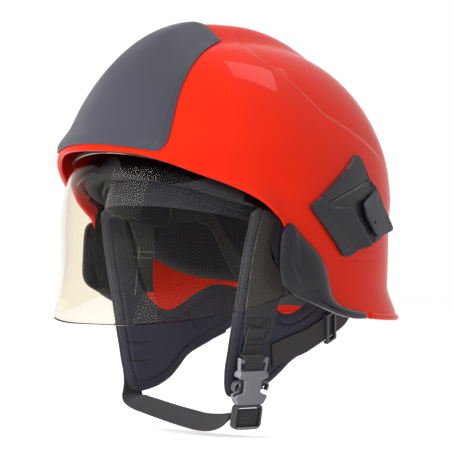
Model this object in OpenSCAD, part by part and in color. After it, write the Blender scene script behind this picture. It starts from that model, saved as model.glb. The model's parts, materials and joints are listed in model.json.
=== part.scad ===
// Fire helmet with a swing-down face visor and eye shield, a size-adjustable cradle
// and a padded chin harness. Front is -Y, the wearer's left is +X, up is +Z; the
// origin is the middle of the wearer's head at headband level. Millimetres.

/* [Shell] */
// Half width of the shell at its widest
shell_half_w = 118.5; // [112:0.5:126]
// Reach of the shell in front of its centre
shell_front = 147.5; // [142:0.5:156]
// Reach of the shell behind its centre
shell_rear = 156; // [150:0.5:166]
// Height of the dome above its centre, without the spine
dome_h = 132.5; // [128:0.5:142]
// Wall of the shell
shell_wall = 3.5; // [2.5:0.1:4.5]
// Height of the raised centre spine
spine_h = 13; // [6:0.5:16]
// Half width of the spine at its foot
spine_half_w = 30; // [24:1:36]
// How far the shell draws in above the neck edge
waist = 6; // [3:0.5:8]
// How far the neck edge flares out again
neck_flare = 11; // [6:0.5:13]
// Lift of the brow lip in front of the dome
brow_flare = 9; // [5:0.5:11]
// How far the rim turns out beside the face
rim_flare = 4; // [3:0.5:6]

/* [Front plate] */
// Thickness of the front plate
plate_t = 2.6; // [1.6:0.1:4]
// Angle over the head at which the plate ends, from level front
plate_top = 79.5; // [66:0.5:84]
// Angle at which the plate starts above the lip
plate_bottom = 16; // [15.5:0.5:22]
// Half width of the plate at its foot, as a slope
plate_foot = 0.46; // [0.36:0.01:0.52]
// Half width of the plate at its top, as a slope
plate_head = 0.19; // [0.12:0.01:0.26]

/* [Visors] */
// Room at each side between the face visor and the shell's widest
visor_room = 9.5; // [9:0.1:11.5]
// How much further than the shell's front the face visor stands from the hinge line
visor_lead = 3.5; // [1:0.5:4]
// Wall of the face visor
visor_t = 2; // [1.5:0.1:2.5]
// How far the lower edge flares out in front
visor_flare = 11; // [8:0.5:14]
// How far it flares out towards the cheeks
visor_side_flare = 44; // [34:0.5:46]
// Room at each side between the eye shield and the face visor
eye_room = 8; // [7.6:0.1:9]
// How much less the eye shield's radius is than the face visor's
eye_lag = 13; // [11:0.5:14.5]
// Wall of the eye shield
eye_t = 2; // [1.5:0.1:2.2]
// Radius of the visor pivot pins
pin_r = 5; // [4:0.1:6]
// Radius of the visor hubs
hub_r = 16; // [13:0.5:18]
// Running clearance of the hubs on their pins
run_gap = 0.05; // [0.02:0.01:0.1]

/* [Side fittings] */
// Thickness of the side covers at their edge
cover_edge = 2.4; // [1.6:0.1:4]
// Crown of the side covers above their edge
cover_crown = 5; // [2:0.5:8]
// Thickness of the lamp bracket plate
bracket_t = 4; // [3:0.1:6]
// Height of the raised lamp socket above the bracket plate
socket_h = 9; // [5:0.5:12]
// Radius of the lamp lock hole
lock_r = 1.6; // [1:0.1:2.4]

/* [Liner and headband] */
// Room at each side between the liner and the eye shield
liner_room = 5.4; // [5:0.1:9]
// How much less the liner's radius is than the eye shield's
liner_lag = 6.5; // [5:0.5:10]
// Thickness of the liner
liner_t = 16; // [12:0.5:18]
// Height of the headband
band_h = 22; // [16:1:26]
// Thickness of the headband
band_t = 1.8; // [1.2:0.1:2]
// Thickness of the brow pad
brow_t = 5; // [3:0.5:6]
// Radius of the size knob
knob_r = 17; // [13:0.5:20]
// Thickness of the size knob
knob_t = 9; // [6:0.5:11]
// Radius of the knob's spindle
spindle_r = 4; // [3:0.1:5]

/* [Harness] */
// Thickness of the padded cheek flaps
pad_t = 8; // [5:0.5:10]
// Width of the chin and nape webbing
web_w = 20; // [18:0.5:22]
// Thickness of all webbing
web_t = 1.6; // [1:0.1:2]
// Width of the buckle socket
buckle_w = 31; // [29:0.5:34]
// Thickness of the buckle
buckle_t = 8.5; // [8:0.1:10]

/* [Hidden] */
// Visor, eye shield and liner keep their rooms inside the shell
visor_half_w = shell_half_w - visor_room;
visor_r = shell_front + visor_lead;
eye_half_w = visor_half_w - eye_room;
eye_r = visor_r - eye_lag;
liner_half_w = eye_half_w - liner_room;
liner_r = eye_r - liner_lag;

// Gap between pieces that lie against each other
seat = 0.3;
// Centre of the dome, hinge line of both visors
dome_at = [0, -7.5, 5.5];
hinge = [0, -5, -20];
// Roundness of the dome: plan in front, plan behind, side view
round_front = 1.85;
round_rear = 2.6;
round_side = 2.5;
round_visor = 2;
round_eye = 2.15;
// How much the sides lean in per height of the dome
side_lean = 0.30;
// The skirt below the centre: its fade-out depth
skirt_h = 330;
// Grid of the shell: columns on each side, rows
cols = 45;
rows = 20;

// ---- general helpers ----
function smooth(t) = let(u = max(0, min(1, t))) u * u * (3 - 2 * u);
function flat2(g) = [for (r = g) for (p = r) p];
function curve(p, t) =
    let(n = len(p) - 1, k = min(floor(t * n), n - 1), f = t * n - k,
        a = p[max(k - 1, 0)], b = p[k], c = p[k + 1], d = p[min(k + 2, n)])
    0.5 * (2 * b + (c - a) * f + (2 * a - 5 * b + 4 * c - d) * f * f
        + (3 * b - a - 3 * c + d) * f * f * f);
function unit(v) = v / norm(v);

// Solid between two open grids of points; the first is the outer face
module slab(a, b) {
    n = len(a);
    m = len(a[0]);
    s = n * m;
    polyhedron(concat(flat2(a), flat2(b)), concat(
        [for (i = [0:n - 2], j = [0:m - 2]) each let(q = i * m + j)
            [[q, q + 1, q + m + 1], [q, q + m + 1, q + m],
             [s + q, s + q + m + 1, s + q + 1], [s + q, s + q + m, s + q + m + 1]]],
        [for (i = [0:n - 2]) each let(q = i * m, e = q + m - 1)
            [[q, q + m, s + q + m], [q, s + q + m, s + q],
             [e + m, e, s + e], [e + m, s + e, s + e + m]]],
        [for (j = [0:m - 2]) each let(q = j, e = (n - 1) * m + j)
            [[q + 1, q, s + q], [q + 1, s + q, s + q + 1],
             [e, e + 1, s + e + 1], [e, s + e + 1, s + e]]]), convexity = 6);
}

// Solid between two bowls; row 0 of each is the one crown point
module bowl(a, b) {
    n = len(a);
    m = len(a[1]);
    s = 1 + (n - 1) * m;
    pts = concat([a[0]], [for (i = [1:n - 1]) each a[i]],
        [b[0]], [for (i = [1:n - 1]) each b[i]]);
    polyhedron(pts, concat(
        [for (j = [0:m - 1]) each let(k = (j + 1) % m)
            [[0, 1 + k, 1 + j], [s, s + 1 + j, s + 1 + k]]],
        [for (i = [0:n - 3], j = [0:m - 1]) each
            let(k = (j + 1) % m, p = 1 + i * m + j, q = 1 + i * m + k)
            [[p, q, q + m], [p, q + m, p + m],
             [s + p, s + q + m, s + q], [s + p, s + p + m, s + q + m]]],
        [for (j = [0:m - 1]) each
            let(k = (j + 1) % m, p = 1 + (n - 2) * m + j, q = 1 + (n - 2) * m + k)
            [[p, q, s + q], [p, s + q, s + p]]]), convexity = 8);
}

// ---- the dome ----
function plan_w(z) = shell_half_w * (1 - side_lean * max(z, 0) / dome_h)
    - waist / 2 * smooth((45 - z) / 75) + (neck_flare - 3) * smooth((-z - 70) / 32);
function plan_f(z) = shell_front + brow_flare * exp(-pow((z - 40) / 12, 2));
function plan_b(z) = shell_rear - waist * smooth((45 - z) / 75)
    + neck_flare * smooth((-z - 70) / 32);
function dome_k(d, z) =
    let(m = d.y < 0 ? round_front : round_rear, l = d.y < 0 ? plan_f(z) : plan_b(z))
    pow(pow(abs(d.x) / plan_w(z), m) + pow(abs(d.y) / l, m), round_side / m)
    + pow(abs(d.z) / (d.z > 0 ? dome_h : skirt_h), round_side);
function dome_r(d, r = 140, n = 7) =
    n == 0 ? r : dome_r(d, pow(dome_k(d, r * d.z), -1 / round_side), n - 1);
function aim(az, el) = [sin(az) * cos(el), -cos(az) * cos(el), sin(el)];
function spine(p) =
    let(w = atan2(p.z - dome_at.z, dome_at.y - p.y), foot = spine_half_w + 12 * smooth((70 - w) / 45))
    spine_h * smooth((w - 18) / 67) * (1 - smooth((w - 95) / 77))
    * (1 - smooth((abs(p.x) - 4) / (foot - 4)));
// Turned-out rim beside the face, fading out above the rim
function rim_lip(d, p) = let(az = abs(atan2(d.x, -d.y)))
    rim_flare * smooth((az - 12) / 20) * (1 - smooth((az - 60) / 12))
    * exp(-pow((p.z - lookup(az, rim)) / 14, 2));
// Point of the shell in direction d, moved out by off
function skin(d, off = 0) =
    let(r = dome_r(d), p = dome_at + r * d) dome_at + (r + spine(p) + rim_lip(d, p) + off) * d;
// Distance of the shell's side from the middle plane, at a place y, z
function side_x(y, z) =
    let(q = y - dome_at.y, h = z - dome_at.z, m = q < 0 ? round_front : round_rear,
        l = q < 0 ? plan_f(h) : plan_b(h),
        c = pow(1 - pow(abs(h) / (h > 0 ? dome_h : skirt_h), round_side), m / round_side))
    plan_w(h) * pow(c - pow(abs(q) / l, m), 1 / m);

// Rim of the shell on the left: [angle round the head from the front, height]
rim = [[0, 45.5], [9, 44.8], [18, 42], [27, 35.5], [36, 27.5], [46, 19.5], [56, 10], [64, -1],
    [70, -14], [74.5, -38], [80, -63], [91, -80], [102, -86], [114, -89.5], [127, -92],
    [140, -93.5], [153, -94.2], [166, -94.5], [180, -94.5]];
function rim_el(az, z, off, el = 0, n = 5) =
    n == 0 ? el : let(p = skin(aim(az, el), off) - dome_at)
    rim_el(az, z, off, atan2(z - dome_at.z, norm([p.x, p.y])), n - 1);
function rim_ring(table, n) = let(
    half = [for (j = [0:n]) curve(table, j / n)])
    concat(half, [for (j = [n - 1:-1:1]) [-half[j][0], half[j][1]]]);

module outer_shell() {
    ring = rim_ring(rim, cols);
    els = [for (r = ring) rim_el(r[0], r[1], 0)];
    function layer(off) = concat([skin([0, 0, 1], off)],
        [for (i = [1:rows]) [for (j = [0:len(ring) - 1])
            skin(aim(ring[j][0], 90 - (90 - els[j]) * i / rows), off)]]);
    color("red") bowl(layer(0), layer(-shell_wall));
}

// ---- front plate ----
function plate_slope(w) = plate_foot
    - (plate_foot - plate_head) * pow(max(0, (w - 20) / 60), 1.25);
// Corners of the plate are rounded over this angle
plate_corner = 5;
// Thickness left at its edge
plate_rim = 0.9;
function plate_edge(w) =
    let(u = min(1, max(0, (w - plate_bottom) / plate_corner)))
    plate_slope(w) * (1 - 0.14 * (1 - sqrt(1 - (1 - u) * (1 - u))));
function plate_point(s, w, off) = skin(unit([s * plate_edge(w), -cos(w), sin(w)]), off);

module front_plate() {
    span = plate_top - plate_bottom;
    ws = concat([for (k = [0:3]) plate_bottom + plate_corner * k / 4],
        [for (k = [0:13]) plate_bottom + plate_corner + (span - plate_corner) * k / 13]);
    function thick(s, w) = plate_rim + (plate_t - plate_rim)
        * smooth(8 * (1 - abs(s))) * smooth(1.6 * (w - plate_bottom) / plate_corner);
    function layer(share) = [for (i = [len(ws) - 1:-1:0]) [for (j = [-9:9])
        plate_point(j / 9, ws[i], 1.5 * seat + share * thick(j / 9, ws[i]))]];
    color([0.27, 0.27, 0.3]) slab(layer(1), layer(0));
}

// ---- patches on the side of the head ----
// Solid over the left side between an inner and an outer edge line of [y, z] points.
function across(inner, outer, u, v) = (1 - v) * curve(inner, u) + v * curve(outer, u);

// ---- side covers ----
cover_front = [[-47, -13], [-53, -19], [-55.5, -35], [-56, -52], [-53, -62], [-45, -68.5],
    [-29, -75], [-12, -81.5], [5, -87], [22, -90], [38, -90.5]];
cover_back = [[-44.5, -13], [-38, -19], [-30, -26], [-17, -36], [-9, -46], [-4.5, -59],
    [-1, -71], [5, -78], [16, -81.5], [27, -84], [38, -85.5]];
function cover_x(y, z) = max(side_x(y, z), visor_half_w + 2.5)
    + seat + 1.3 * smooth((-z - 42) / 18);

module side_cover() {
    function at(u, v, t) = let(p = across(cover_back, cover_front, u, v))
        [cover_x(p[0], p[1]) + t * (cover_edge + cover_crown
            * pow(max(0, 4 * v * (1 - v)), 0.6) * pow(sin(180 * pow(u, 0.6)), 0.5)), p[0], p[1]];
    color([0.15, 0.15, 0.18])
        slab([for (i = [0:6]) [for (j = [0:24]) at(j / 24, i / 6, 1)]],
            [for (i = [0:6]) [for (j = [0:24]) at(j / 24, i / 6, 0)]]);
}

// ---- lamp brackets ----
// Edge lines of the bracket, front corner to the rear: upper and lower
bracket_upper = [[-25, 1], [-8, 11.5], [13, 24], [30, 34], [45, 42], [55, 22], [69, 7]];
bracket_lower = [[-23, -3], [-10, -15], [4, -28], [18, -40], [41, -33], [64, -27], [84, -17]];
// Lines on the bracket, front or upper end first: foot of the ramp, its ridge, its upper end
ramp_foot = [[-6.5, -3], [31.8, -34.5]];
ramp_ridge = [[15.9, -1], [43.7, -28.9]];
ramp_end = [[-1.8, -2.3], [15.9, -1]];
clip_mid = [60, -8];
clip_lean = (side_x(82, -8) - side_x(38, -8)) / 44;
function clip_x(y) =
    side_x(clip_mid[0], clip_mid[1]) + bracket_t + 1 + clip_lean * (y - clip_mid[0]);
// Distance of a place from a line, positive to the left of the line's direction
function beside(p, line) = let(d = unit(line[1] - line[0]))
    d[0] * (p[1] - line[0][1]) - d[1] * (p[0] - line[0][0]);
// Height of the bracket over the shell: a concave ramp up to a ridge, a rise under the clip
function bracket_h(p) = let(foot = beside(p, ramp_foot), past = beside(p, ramp_ridge),
        ramp = foot <= 0 ? 0 : past < 0 ? pow(foot / (foot - past), 1.5) : 1 - smooth(past / 6))
    bracket_t * 0.75 + (socket_h - 3) * ramp * (1 - smooth(beside(p, ramp_end) / 3))
    + 2.6 * smooth((p[0] - 50) / 12);

module lamp_bracket() {
    function at(u, v, t) = let(p = across(bracket_upper, bracket_lower, u, v),
            x = side_x(p[0], p[1]) + seat, h = bracket_h(p),
            top = beside(p, ramp_ridge) > 8 ? min(x + h, clip_x(p[0]) - seat) : x + h)
        [t == 0 ? x : max(top, x + 1.5), p[0], p[1]];
    color([0.22, 0.22, 0.25])
        slab([for (i = [0:12]) [for (j = [0:26]) at(j / 26, i / 12, 1)]],
            [for (i = [0:12]) [for (j = [0:26]) at(j / 26, i / 12, 0)]]);
}

// Spring clip on the bracket, with the lock hole of the lamp adapter
clip_t = 2.5;
lock_at = [-8.7, -4.5];
module lamp_clip() {
    color([0.2, 0.2, 0.23])
        translate([clip_x(clip_mid[0]), clip_mid[0], clip_mid[1]])
        rotate([0, 0, atan(-clip_lean)])
        rotate([90, 0, 90])
        linear_extrude(clip_t) difference() {
            polygon([[-26, 11], [-5.5, 21.5], [-2, 19], [25.5, -8.5], [25, -11], [20, -12.5], [-1, -17],
                [-8, -12], [-21, -0.5]]);
            translate(lock_at) circle(r = lock_r, $fn = 32);
        }
}

// ---- visors: surfaces that turn about the hinge line ----
// side runs from -90 to 90 degrees across the face, w is the angle above level
function wrap(side, w, half_w, r, m = round_visor) = let(e = 2 / m, c = r * pow(cos(side), e))
    [half_w * sign(side) * pow(abs(sin(side)), e),
        hinge.y - c * cos(w), hinge.z + c * sin(w)];
// Side angle at which a wrap has come down to radius c about the hinge line
function wrap_end(c, r, m = round_visor) = acos(pow(c / r, m / 2));
visor_side = 69;
visor_top = 25;
visor_low = -27.2;
visor_low_side = 34.3;
arm_low = -24;
arm_high = 12;
function visor_end(side) = visor_low - visor_low_side * pow(min(1, abs(side) / visor_side), 5.1);
function visor_reach(side, w) = visor_r - 2
    + (visor_flare + (visor_side_flare - visor_flare) * smooth(abs(side) / 60))
        * pow(max(0, min(1, w / visor_end(side))), 2.77) * (1 - smooth((abs(side) - 40) / 38));
function visor_point(side, k, off) =
    let(arm = abs(side) > visor_side + 0.5, lo = arm ? arm_low : visor_end(side),
        hi = arm ? arm_high : visor_top, w = hi + (lo - hi) * k)
    wrap(side, w, visor_half_w + off, visor_reach(side, w) + off);
function visor_sides() = let(
        stop = wrap_end(hub_r + seat, visor_r - 2),
        half = concat([for (k = [0:13]) visor_side * k / 13],
            [for (k = [0:4]) visor_side + 1.5 + (stop - visor_side - 1.5) * k / 4]))
    concat([for (k = [len(half) - 1:-1:1]) -half[k]], half);

module face_visor() {
    sides = visor_sides();
    function layer(off) = [for (i = [0:12]) [for (s = sides) visor_point(s, i / 12, off)]];
    color([0.93, 0.9, 0.8, 0.35]) slab(layer(0), layer(-visor_t));
}

// Soft grey lip on the visor's top edge
seal_h = 3.5;
seal_t = 2.4;
module visor_seal() {
    n = 30;
    function line(off, w) = [for (j = [-n:n]) let(side = visor_side * 0.9 * j / n)
        wrap(side, w, visor_half_w + off, visor_r - 2 + off)];
    base = visor_top + seat / 2.4;
    rise = asin(seal_h / visor_r);
    color([0.5, 0.5, 0.5]) slab([line(0.2, base + rise), line(0.2, base)],
        [line(0.2 - seal_t, base + rise), line(0.2 - seal_t, base)]);
}

module disc(r, x0, x1) {
    translate([x0, hinge.y, hinge.z]) rotate([0, 90, 0]) cylinder(r = r, h = x1 - x0, $fn = 64);
}
visor_hub_t = 3.2;
eye_hub_t = 2.6;
module visor_hub() {
    color([0.3, 0.3, 0.32]) difference() {
        disc(hub_r, visor_half_w - visor_hub_t, visor_half_w - 0.1);
        disc(pin_r + run_gap, visor_half_w - visor_hub_t - 1, visor_half_w + 1);
    }
}
module eye_hub() {
    color([0.25, 0.25, 0.27]) difference() {
        disc(hub_r - 4, eye_half_w - eye_hub_t, eye_half_w);
        disc(pin_r + run_gap, eye_half_w - eye_hub_t - 1, eye_half_w + 1);
    }
}
// Pin from the liner's side to the shell, with a collar between the two hubs
pin_out = side_x(hinge.y, hinge.z) - shell_wall - 0.4;
module pivot_pin() {
    color("silver") {
        disc(pin_r + 2.5, liner_half_w + seat, eye_half_w - eye_hub_t - seat);
        disc(pin_r, liner_half_w + seat, pin_out);
        disc(pin_r + 2, eye_half_w + seat, visor_half_w - visor_hub_t - seat);
    }
}

// Eye shield: two lobes and a nose notch, parked above the eyes
eye_side = 60;
eye_top = 38;
eye_notch = 26;
eye_low = 20;
function eye_end(side) = let(a = abs(side))
    a < 9 ? eye_notch - (eye_notch - eye_low) * smooth((a - 1) / 8)
    : eye_low - 1.5 * sin(180 * min(1, (a - 9) / 40)) + 10 * smooth((a - 30) / 26);
function eye_point(side, k, off) =
    let(arm = abs(side) > eye_side + 0.5, lo = arm ? 20 : eye_end(side),
        hi = arm ? 34 : eye_top, w = hi + (lo - hi) * k)
    wrap(side, w, eye_half_w + off, eye_r + off, round_eye);
module eye_shield() {
    stop = wrap_end(hub_r - 4 + seat, eye_r, round_eye);
    half = concat([0, 2, 4, 6.5, 9], [for (k = [1:9]) 9 + (eye_side - 9) * k / 9],
        [for (k = [0:5]) eye_side + 1.5 + (stop - eye_side - 1.5) * k / 5]);
    sides = concat([for (k = [len(half) - 1:-1:1]) -half[k]], half);
    function layer(off) = [for (i = [0:6]) [for (s = sides) eye_point(s, i / 6, off)]];
    color([0.4, 0.36, 0.33, 0.5]) slab(layer(0), layer(-eye_t));
}

// ---- liner: clear of the visors in front, against the shell behind ----
liner_rim = [[0, 30], [14, 29], [30, 23], [45, 14], [58, 8.2], [68, 8], [78, 8], [86, -12],
    [95, -34], [107, -45], [120, -53], [135, -59], [150, -63], [165, -65.5], [180, -66]];
function liner_r_at(d, r = 120, n = 6) =
    n == 0 ? r : let(p = dome_at + r * d, q = norm([p.y - hinge.y, p.z - hinge.z]))
    liner_r_at(d, r / pow(pow(abs(p.x) / liner_half_w, round_eye)
        + pow(q / liner_r, round_eye), 1 / round_eye), n - 1);
function liner_point(d, off = 0) =
    let(t = smooth((dome_at.y + 130 * d.y - 25) / 45),
        r = (1 - t) * liner_r_at(d) + t * (dome_r(d) - shell_wall - 3 * seat)) dome_at + (r + off) * d;
function liner_el(az, z, off = 0, el = 0, n = 5) =
    n == 0 ? el : let(p = liner_point(aim(az, el), off) - dome_at)
    liner_el(az, z, off, atan2(z - dome_at.z, norm([p.x, p.y])), n - 1);
liner_cols = 28;
liner_rows = 12;
module impact_liner() {
    ring = rim_ring(liner_rim, liner_cols);
    els = [for (r = ring) liner_el(r[0], r[1])];
    function layer(off) = concat([liner_point([0, 0, 1], off)],
        [for (i = [1:liner_rows]) [for (j = [0:len(ring) - 1])
            liner_point(aim(ring[j][0], 90 - (90 - els[j]) * i / liner_rows), off)]]);
    color([0.12, 0.12, 0.14]) bowl(layer(0), layer(-liner_t));
}

// Brow pad: a padded fabric band inside the front of the liner
brow_side = 56;
brow_h = 26;
module brow_pad() {
    n = 16;
    function line(off, drop) = [for (j = [-n:n])
        let(az = brow_side * j / n, z = curve([[0, 44], [14, 43], [30, 37], [45, 28], [58, 22]],
            abs(az) / 58)[1] - drop)
        liner_point(aim(az, liner_el(az, z, off)), off)];
    out = -liner_t - 2 * seat;
    color([0.16, 0.16, 0.19]) slab([line(out, 0), line(out, brow_h / 2), line(out, brow_h)],
        [line(out - brow_t, 0), line(out - brow_t, brow_h / 2), line(out - brow_t, brow_h)]);
}

// ---- headband and sliding nape cradle ----
band_x = liner_half_w - liner_t - brow_t - 6 * seat;
band_z = -6;
cradle_rear = 103;
cradle_z = -70;
cradle_h = 30;
// Straight stretch on which the cradle slides
arm_front = 8;
arm_rear = 42;
cradle_travel = 9;
// Flat strip standing on edge: points are [x, y, z, half height], off is to the outside
function strip_normal(p, k) = let(a = p[max(k - 1, 0)], b = p[min(k + 1, len(p) - 1)],
    t = unit([b.x - a.x, b.y - a.y])) [t[1], -t[0], 0];
module strip(p, t) {
    n = len(p) - 1;
    function line(off, up) = [for (k = [0:n]) [p[k].x, p[k].y, p[k].z + up * p[k][3]]
        + off * strip_normal(p, k)];
    slab([line(0, 1), line(0, -1)], [line(-t, 1), line(-t, -1)]);
}
// The headband lies against the brow pad, then runs straight back to the cradle
module headband() {
    n = 14;
    in = liner_t + brow_t + 3 * seat;
    function rear(up, off, s) = [for (y = [arm_rear - 12, 18, 6]) [s * (band_x + off), y, band_z + up]];
    function front(up, off) = [for (k = [-n:n]) let(az = 84 * k / n,
        z = band_z + 18 * pow(cos(az), 1.5) + up,
        p = liner_point(aim(az, liner_el(az, z, off - in)), off - in))
        [sign(p.x) * min(abs(p.x), band_x + off), p.y, z]];
    function turned(g) = [g[2], g[1], g[0]];
    function line(up, off) = concat(rear(up, off, -1), front(up, off), turned(rear(up, off, 1)));
    half = band_h / 2;
    color([0.13, 0.13, 0.15]) slab([line(half, 0), line(-half, 0)],
        [line(half, -band_t), line(-half, -band_t)]);
}
module nape_cradle() {
    n = 12;
    x = band_x - band_t - seat;
    e = 2 / 2.3;
    arc = [for (k = [n:-1:-n]) let(a = 90 * k / n, s = smooth((cos(a) - 0.05) / 0.8))
        [x * sign(a) * pow(abs(sin(a)), e), arm_rear + (cradle_rear - arm_rear) * pow(cos(a), e),
            band_z + (cradle_z - band_z) * s, 7 + (cradle_h / 2 - 7) * s]];
    p = concat([[x, arm_front, band_z, 7], [x, arm_rear / 2, band_z, 7]], arc,
        [[-x, arm_rear / 2, band_z, 7], [-x, arm_front, band_z, 7]]);
    color([0.14, 0.14, 0.16]) difference() {
        strip(p, band_t);
        translate([0, cradle_rear - 8, cradle_z]) rotate([-90, 0, 0])
            cylinder(r = spindle_r + run_gap, h = 16, $fn = 48);
    }
}
module size_knob() {
    color([0.18, 0.18, 0.2]) translate([0, cradle_rear, cradle_z]) rotate([-90, 0, 0]) {
        translate([0, 0, seat]) difference() {
            cylinder(r = knob_r, h = knob_t, $fn = 96);
            for (a = [0:30:330]) rotate(a) translate([knob_r + 1, 0, -1])
                cylinder(r = 2.2, h = knob_t + 2, $fn = 24);
        }
        translate([0, 0, -5]) cylinder(r = spindle_r, h = 5 + seat + 1, $fn = 48);
        translate([0, 0, -5]) cylinder(r = spindle_r + 3, h = 2.4, $fn = 48);
    }
}

// ---- crown suspension ----
crown_w = 18;
crown_low = 38;
module crown_straps() {
    n = 10;
    function band(az, side) = [for (k = [-n:n]) let(el = 90 - (90 - crown_low) * k / n,
            p = liner_point(aim(az, el), -liner_t - 2 * seat - side), s = [cos(az), sin(az), 0])
        [p - s * crown_w / 2, p + s * crown_w / 2]];
    function turn(g) = [for (c = [0:1]) [for (r = g) r[c]]];
    color([0.1, 0.1, 0.11]) {
        slab(turn(band(90, seat)), turn(band(90, seat + web_t)));
        slab(turn(band(0, 2 * seat + web_t)), turn(band(0, 2 * seat + 2 * web_t)));
    }
}
crown_pad_r = 34;
crown_pad_t = 6;
module crown_pad() {
    top = liner_point([0, 0, 1], -liner_t - 2 * web_t - 5 * seat);
    color([0.2, 0.2, 0.22]) translate(top - [0, 0, crown_pad_t + 4])
        rotate_extrude($fn = 72) polygon([[0, 0], [crown_pad_r - 4, -2], [crown_pad_r, 0],
            [crown_pad_r - 1, 2], [crown_pad_r * 0.5, crown_pad_t], [0, crown_pad_t + 3.6]]);
}

// ---- harness: padded flaps that lean in along the cheeks ----
// Middle plane of the harness at a place y, z
flap_mid = liner_half_w - 7.6;
function flap_x(y, z) = flap_mid + 0.218 * (z - 5) - 0.0016 * pow(max(0, y), 2);
// Edge lines of the cheek flap, from the temple down and back to the nape
flap_front = [[-59, -5], [-61, -32], [-61, -70], [-61, -105], [-60, -136], [-52, -152],
    [-30, -151], [-10, -144], [4, -135], [18, -125], [46, -114], [72, -102], [84, -97]];
flap_back = [[-34, 7], [-33, -25], [-31, -48], [-27, -64], [-22, -74], [-16, -80], [-9, -85],
    [0, -87.5], [10, -86.5], [22, -82], [39, -74], [60, -67], [80, -70]];
// Slab that follows the flap's middle plane, between two edge lines, from x offset a to b
module on_flap(back, front, a, b, n, rows = 4) {
    function at(u, v, off) = let(p = across(back, front, u, v)) [flap_x(p[0], p[1]) + off, p[0], p[1]];
    slab([for (i = [0:rows]) [for (j = [0:n]) at(j / n, i / rows, b)]],
        [for (i = [0:rows]) [for (j = [0:n]) at(j / n, i / rows, a)]]);
}
module cheek_pad() {
    color([0.18, 0.18, 0.21]) on_flap(flap_back, flap_front, -pad_t / 2, pad_t / 2, 40);
}

// Wide webbing down the outside of the flap, narrowing to the buckle
web_in = pad_t / 2 + seat;
side_front = [[-53, -4], [-55.5, -27], [-56, -50], [-55, -78], [-52, -98], [-49.5, -108]];
side_back = [[-31, 6], [-21.5, -22], [-18, -50], [-16, -70], [-18, -92], [-21, -108]];
module side_web() {
    color([0.12, 0.12, 0.13]) on_flap(side_back, side_front, web_in, web_in + web_t, 12, 3);
}

// Nape webbing along the flap's rear arm, up to the liner's rear rim
nape_mid = [[-14, -121], [6, -115], [24, -110.8], [36, -106.5], [48, -102.1], [60, -97.8], [72, -93.5],
    [80, -89.9], [87, -83.5], [94, -76], [101, -68]];
function across_web(mid, side) = [for (k = [0:len(mid) - 1])
    let(t = unit(mid[min(k + 1, len(mid) - 1)] - mid[max(k - 1, 0)]))
    mid[k] + side * [-t[1], t[0]] * web_w / 2];
module nape_web() {
    color([0.12, 0.12, 0.13])
        on_flap(across_web(nape_mid, 1), across_web(nape_mid, -1), web_in, web_in + web_t, 20, 2);
}

// Slider on the straight stretch of the nape webbing: two long and two cross bars
slider_at = [57, -98.9];
slider_len = 14;
slider_gap = 0.6;
bar_t = 2;
nape_fall = 0.36;
module nape_slider() {
    out = unit([1, 0.0032 * slider_at[0], -0.218]);
    along = unit([-0.0032 * slider_at[0] + 0.218 * nape_fall, 1, nape_fall]);
    up = cross(out, along);
    w = web_w / 2 * 1.05 + slider_gap;
    high = web_t + slider_gap;
    color([0.3, 0.3, 0.32]) multmatrix([
        [along.x, -up.x, out.x, flap_x(slider_at[0], slider_at[1]) + web_in],
        [along.y, -up.y, out.y, slider_at[0]], [along.z, -up.z, out.z, slider_at[1]]]) {
            for (s = [-1, 1]) translate([-slider_len / 2, s > 0 ? w : -w - bar_t, seat])
                cube([slider_len, bar_t, high + bar_t - seat]);
            for (x = [-slider_len / 2, slider_len / 2 - 3])
                translate([x, -w - 0.1, high]) cube([3, 2 * w + 0.2, bar_t]);
        }
}

// Straps that carry the flaps, hung inside the liner's wall, and their snaps
hanger_t = 2.7;
hanger_front = [[-36.5, 5], [-36.5, -9], [-28.5, -27], [-24, -52], [-19, -72]];
hanger_back = [[-8, 5], [-8, -13], [-8, -31], [-8.5, -54], [-10, -72]];
function hanger_x(z) = min(liner_half_w - liner_t - 7 * seat, flap_x(0, z) + web_in - seat);
module strap_hanger() {
    function at(u, v, off) = let(p = across(hanger_back, hanger_front, u, v))
        [hanger_x(p[1]) + off, p[0], p[1]];
    color([0.11, 0.11, 0.12])
        slab([for (i = [0:2]) [for (j = [0:10]) at(j / 10, i / 2, 0)]],
            [for (i = [0:2]) [for (j = [0:10]) at(j / 10, i / 2, -hanger_t)]]);
}
module hanger_snaps() {
    color("silver") for (s = [-1, 1]) for (at = [[-30.5, -6]])
        translate([s * (hanger_x(at[1]) - hanger_t - seat / 2), at[0], at[1]]) rotate([0, -s * 90, 0])
            rotate_extrude($fn = 32) polygon([[0, 0], [4.6, 0], [4.6, 1], [3.6, 1.8], [1.8, 1.2], [0, 1.2]]);
}

// ---- chin buckle: its own axes are X to the rear, -Y outward, Z up ----
buckle_mid = [flap_mid - 19, -43.2, -140];
socket_top = 19;
socket_low = -18;
prong_travel = 2.5;
prong_w = 6;
wall = 2.2;
module at_buckle() {
    translate(buckle_mid) rotate([12, 0, 78]) children();
}
module block(w, t, z0, z1) {
    translate([-w / 2, -t / 2, z0]) cube([w, t, z1 - z0]);
}
module buckle_socket() {
    inner_w = buckle_w - 2 * wall;
    inner_t = buckle_t - 2 * wall;
    color([0.1, 0.1, 0.11]) at_buckle() difference() {
        union() {
            block(buckle_w, buckle_t, socket_low, 8);
            for (s = [-1, 1]) translate([s * (buckle_w - 4) / 2, 0, 0]) block(4, 5, 7, socket_top);
            translate([0, 0, socket_top - 2]) rotate([0, 90, 0])
                cylinder(r = 2, h = buckle_w - 2, center = true, $fn = 32);
        }
        block(inner_w, inner_t, socket_low - 1, 6);
        for (s = [-1, 1]) translate([s * buckle_w / 2, 0, 0]) block(12, inner_t, -12, 2);
    }
}
plug_low = -39;
plug_slot = [-36.5, -21.5];
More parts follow.
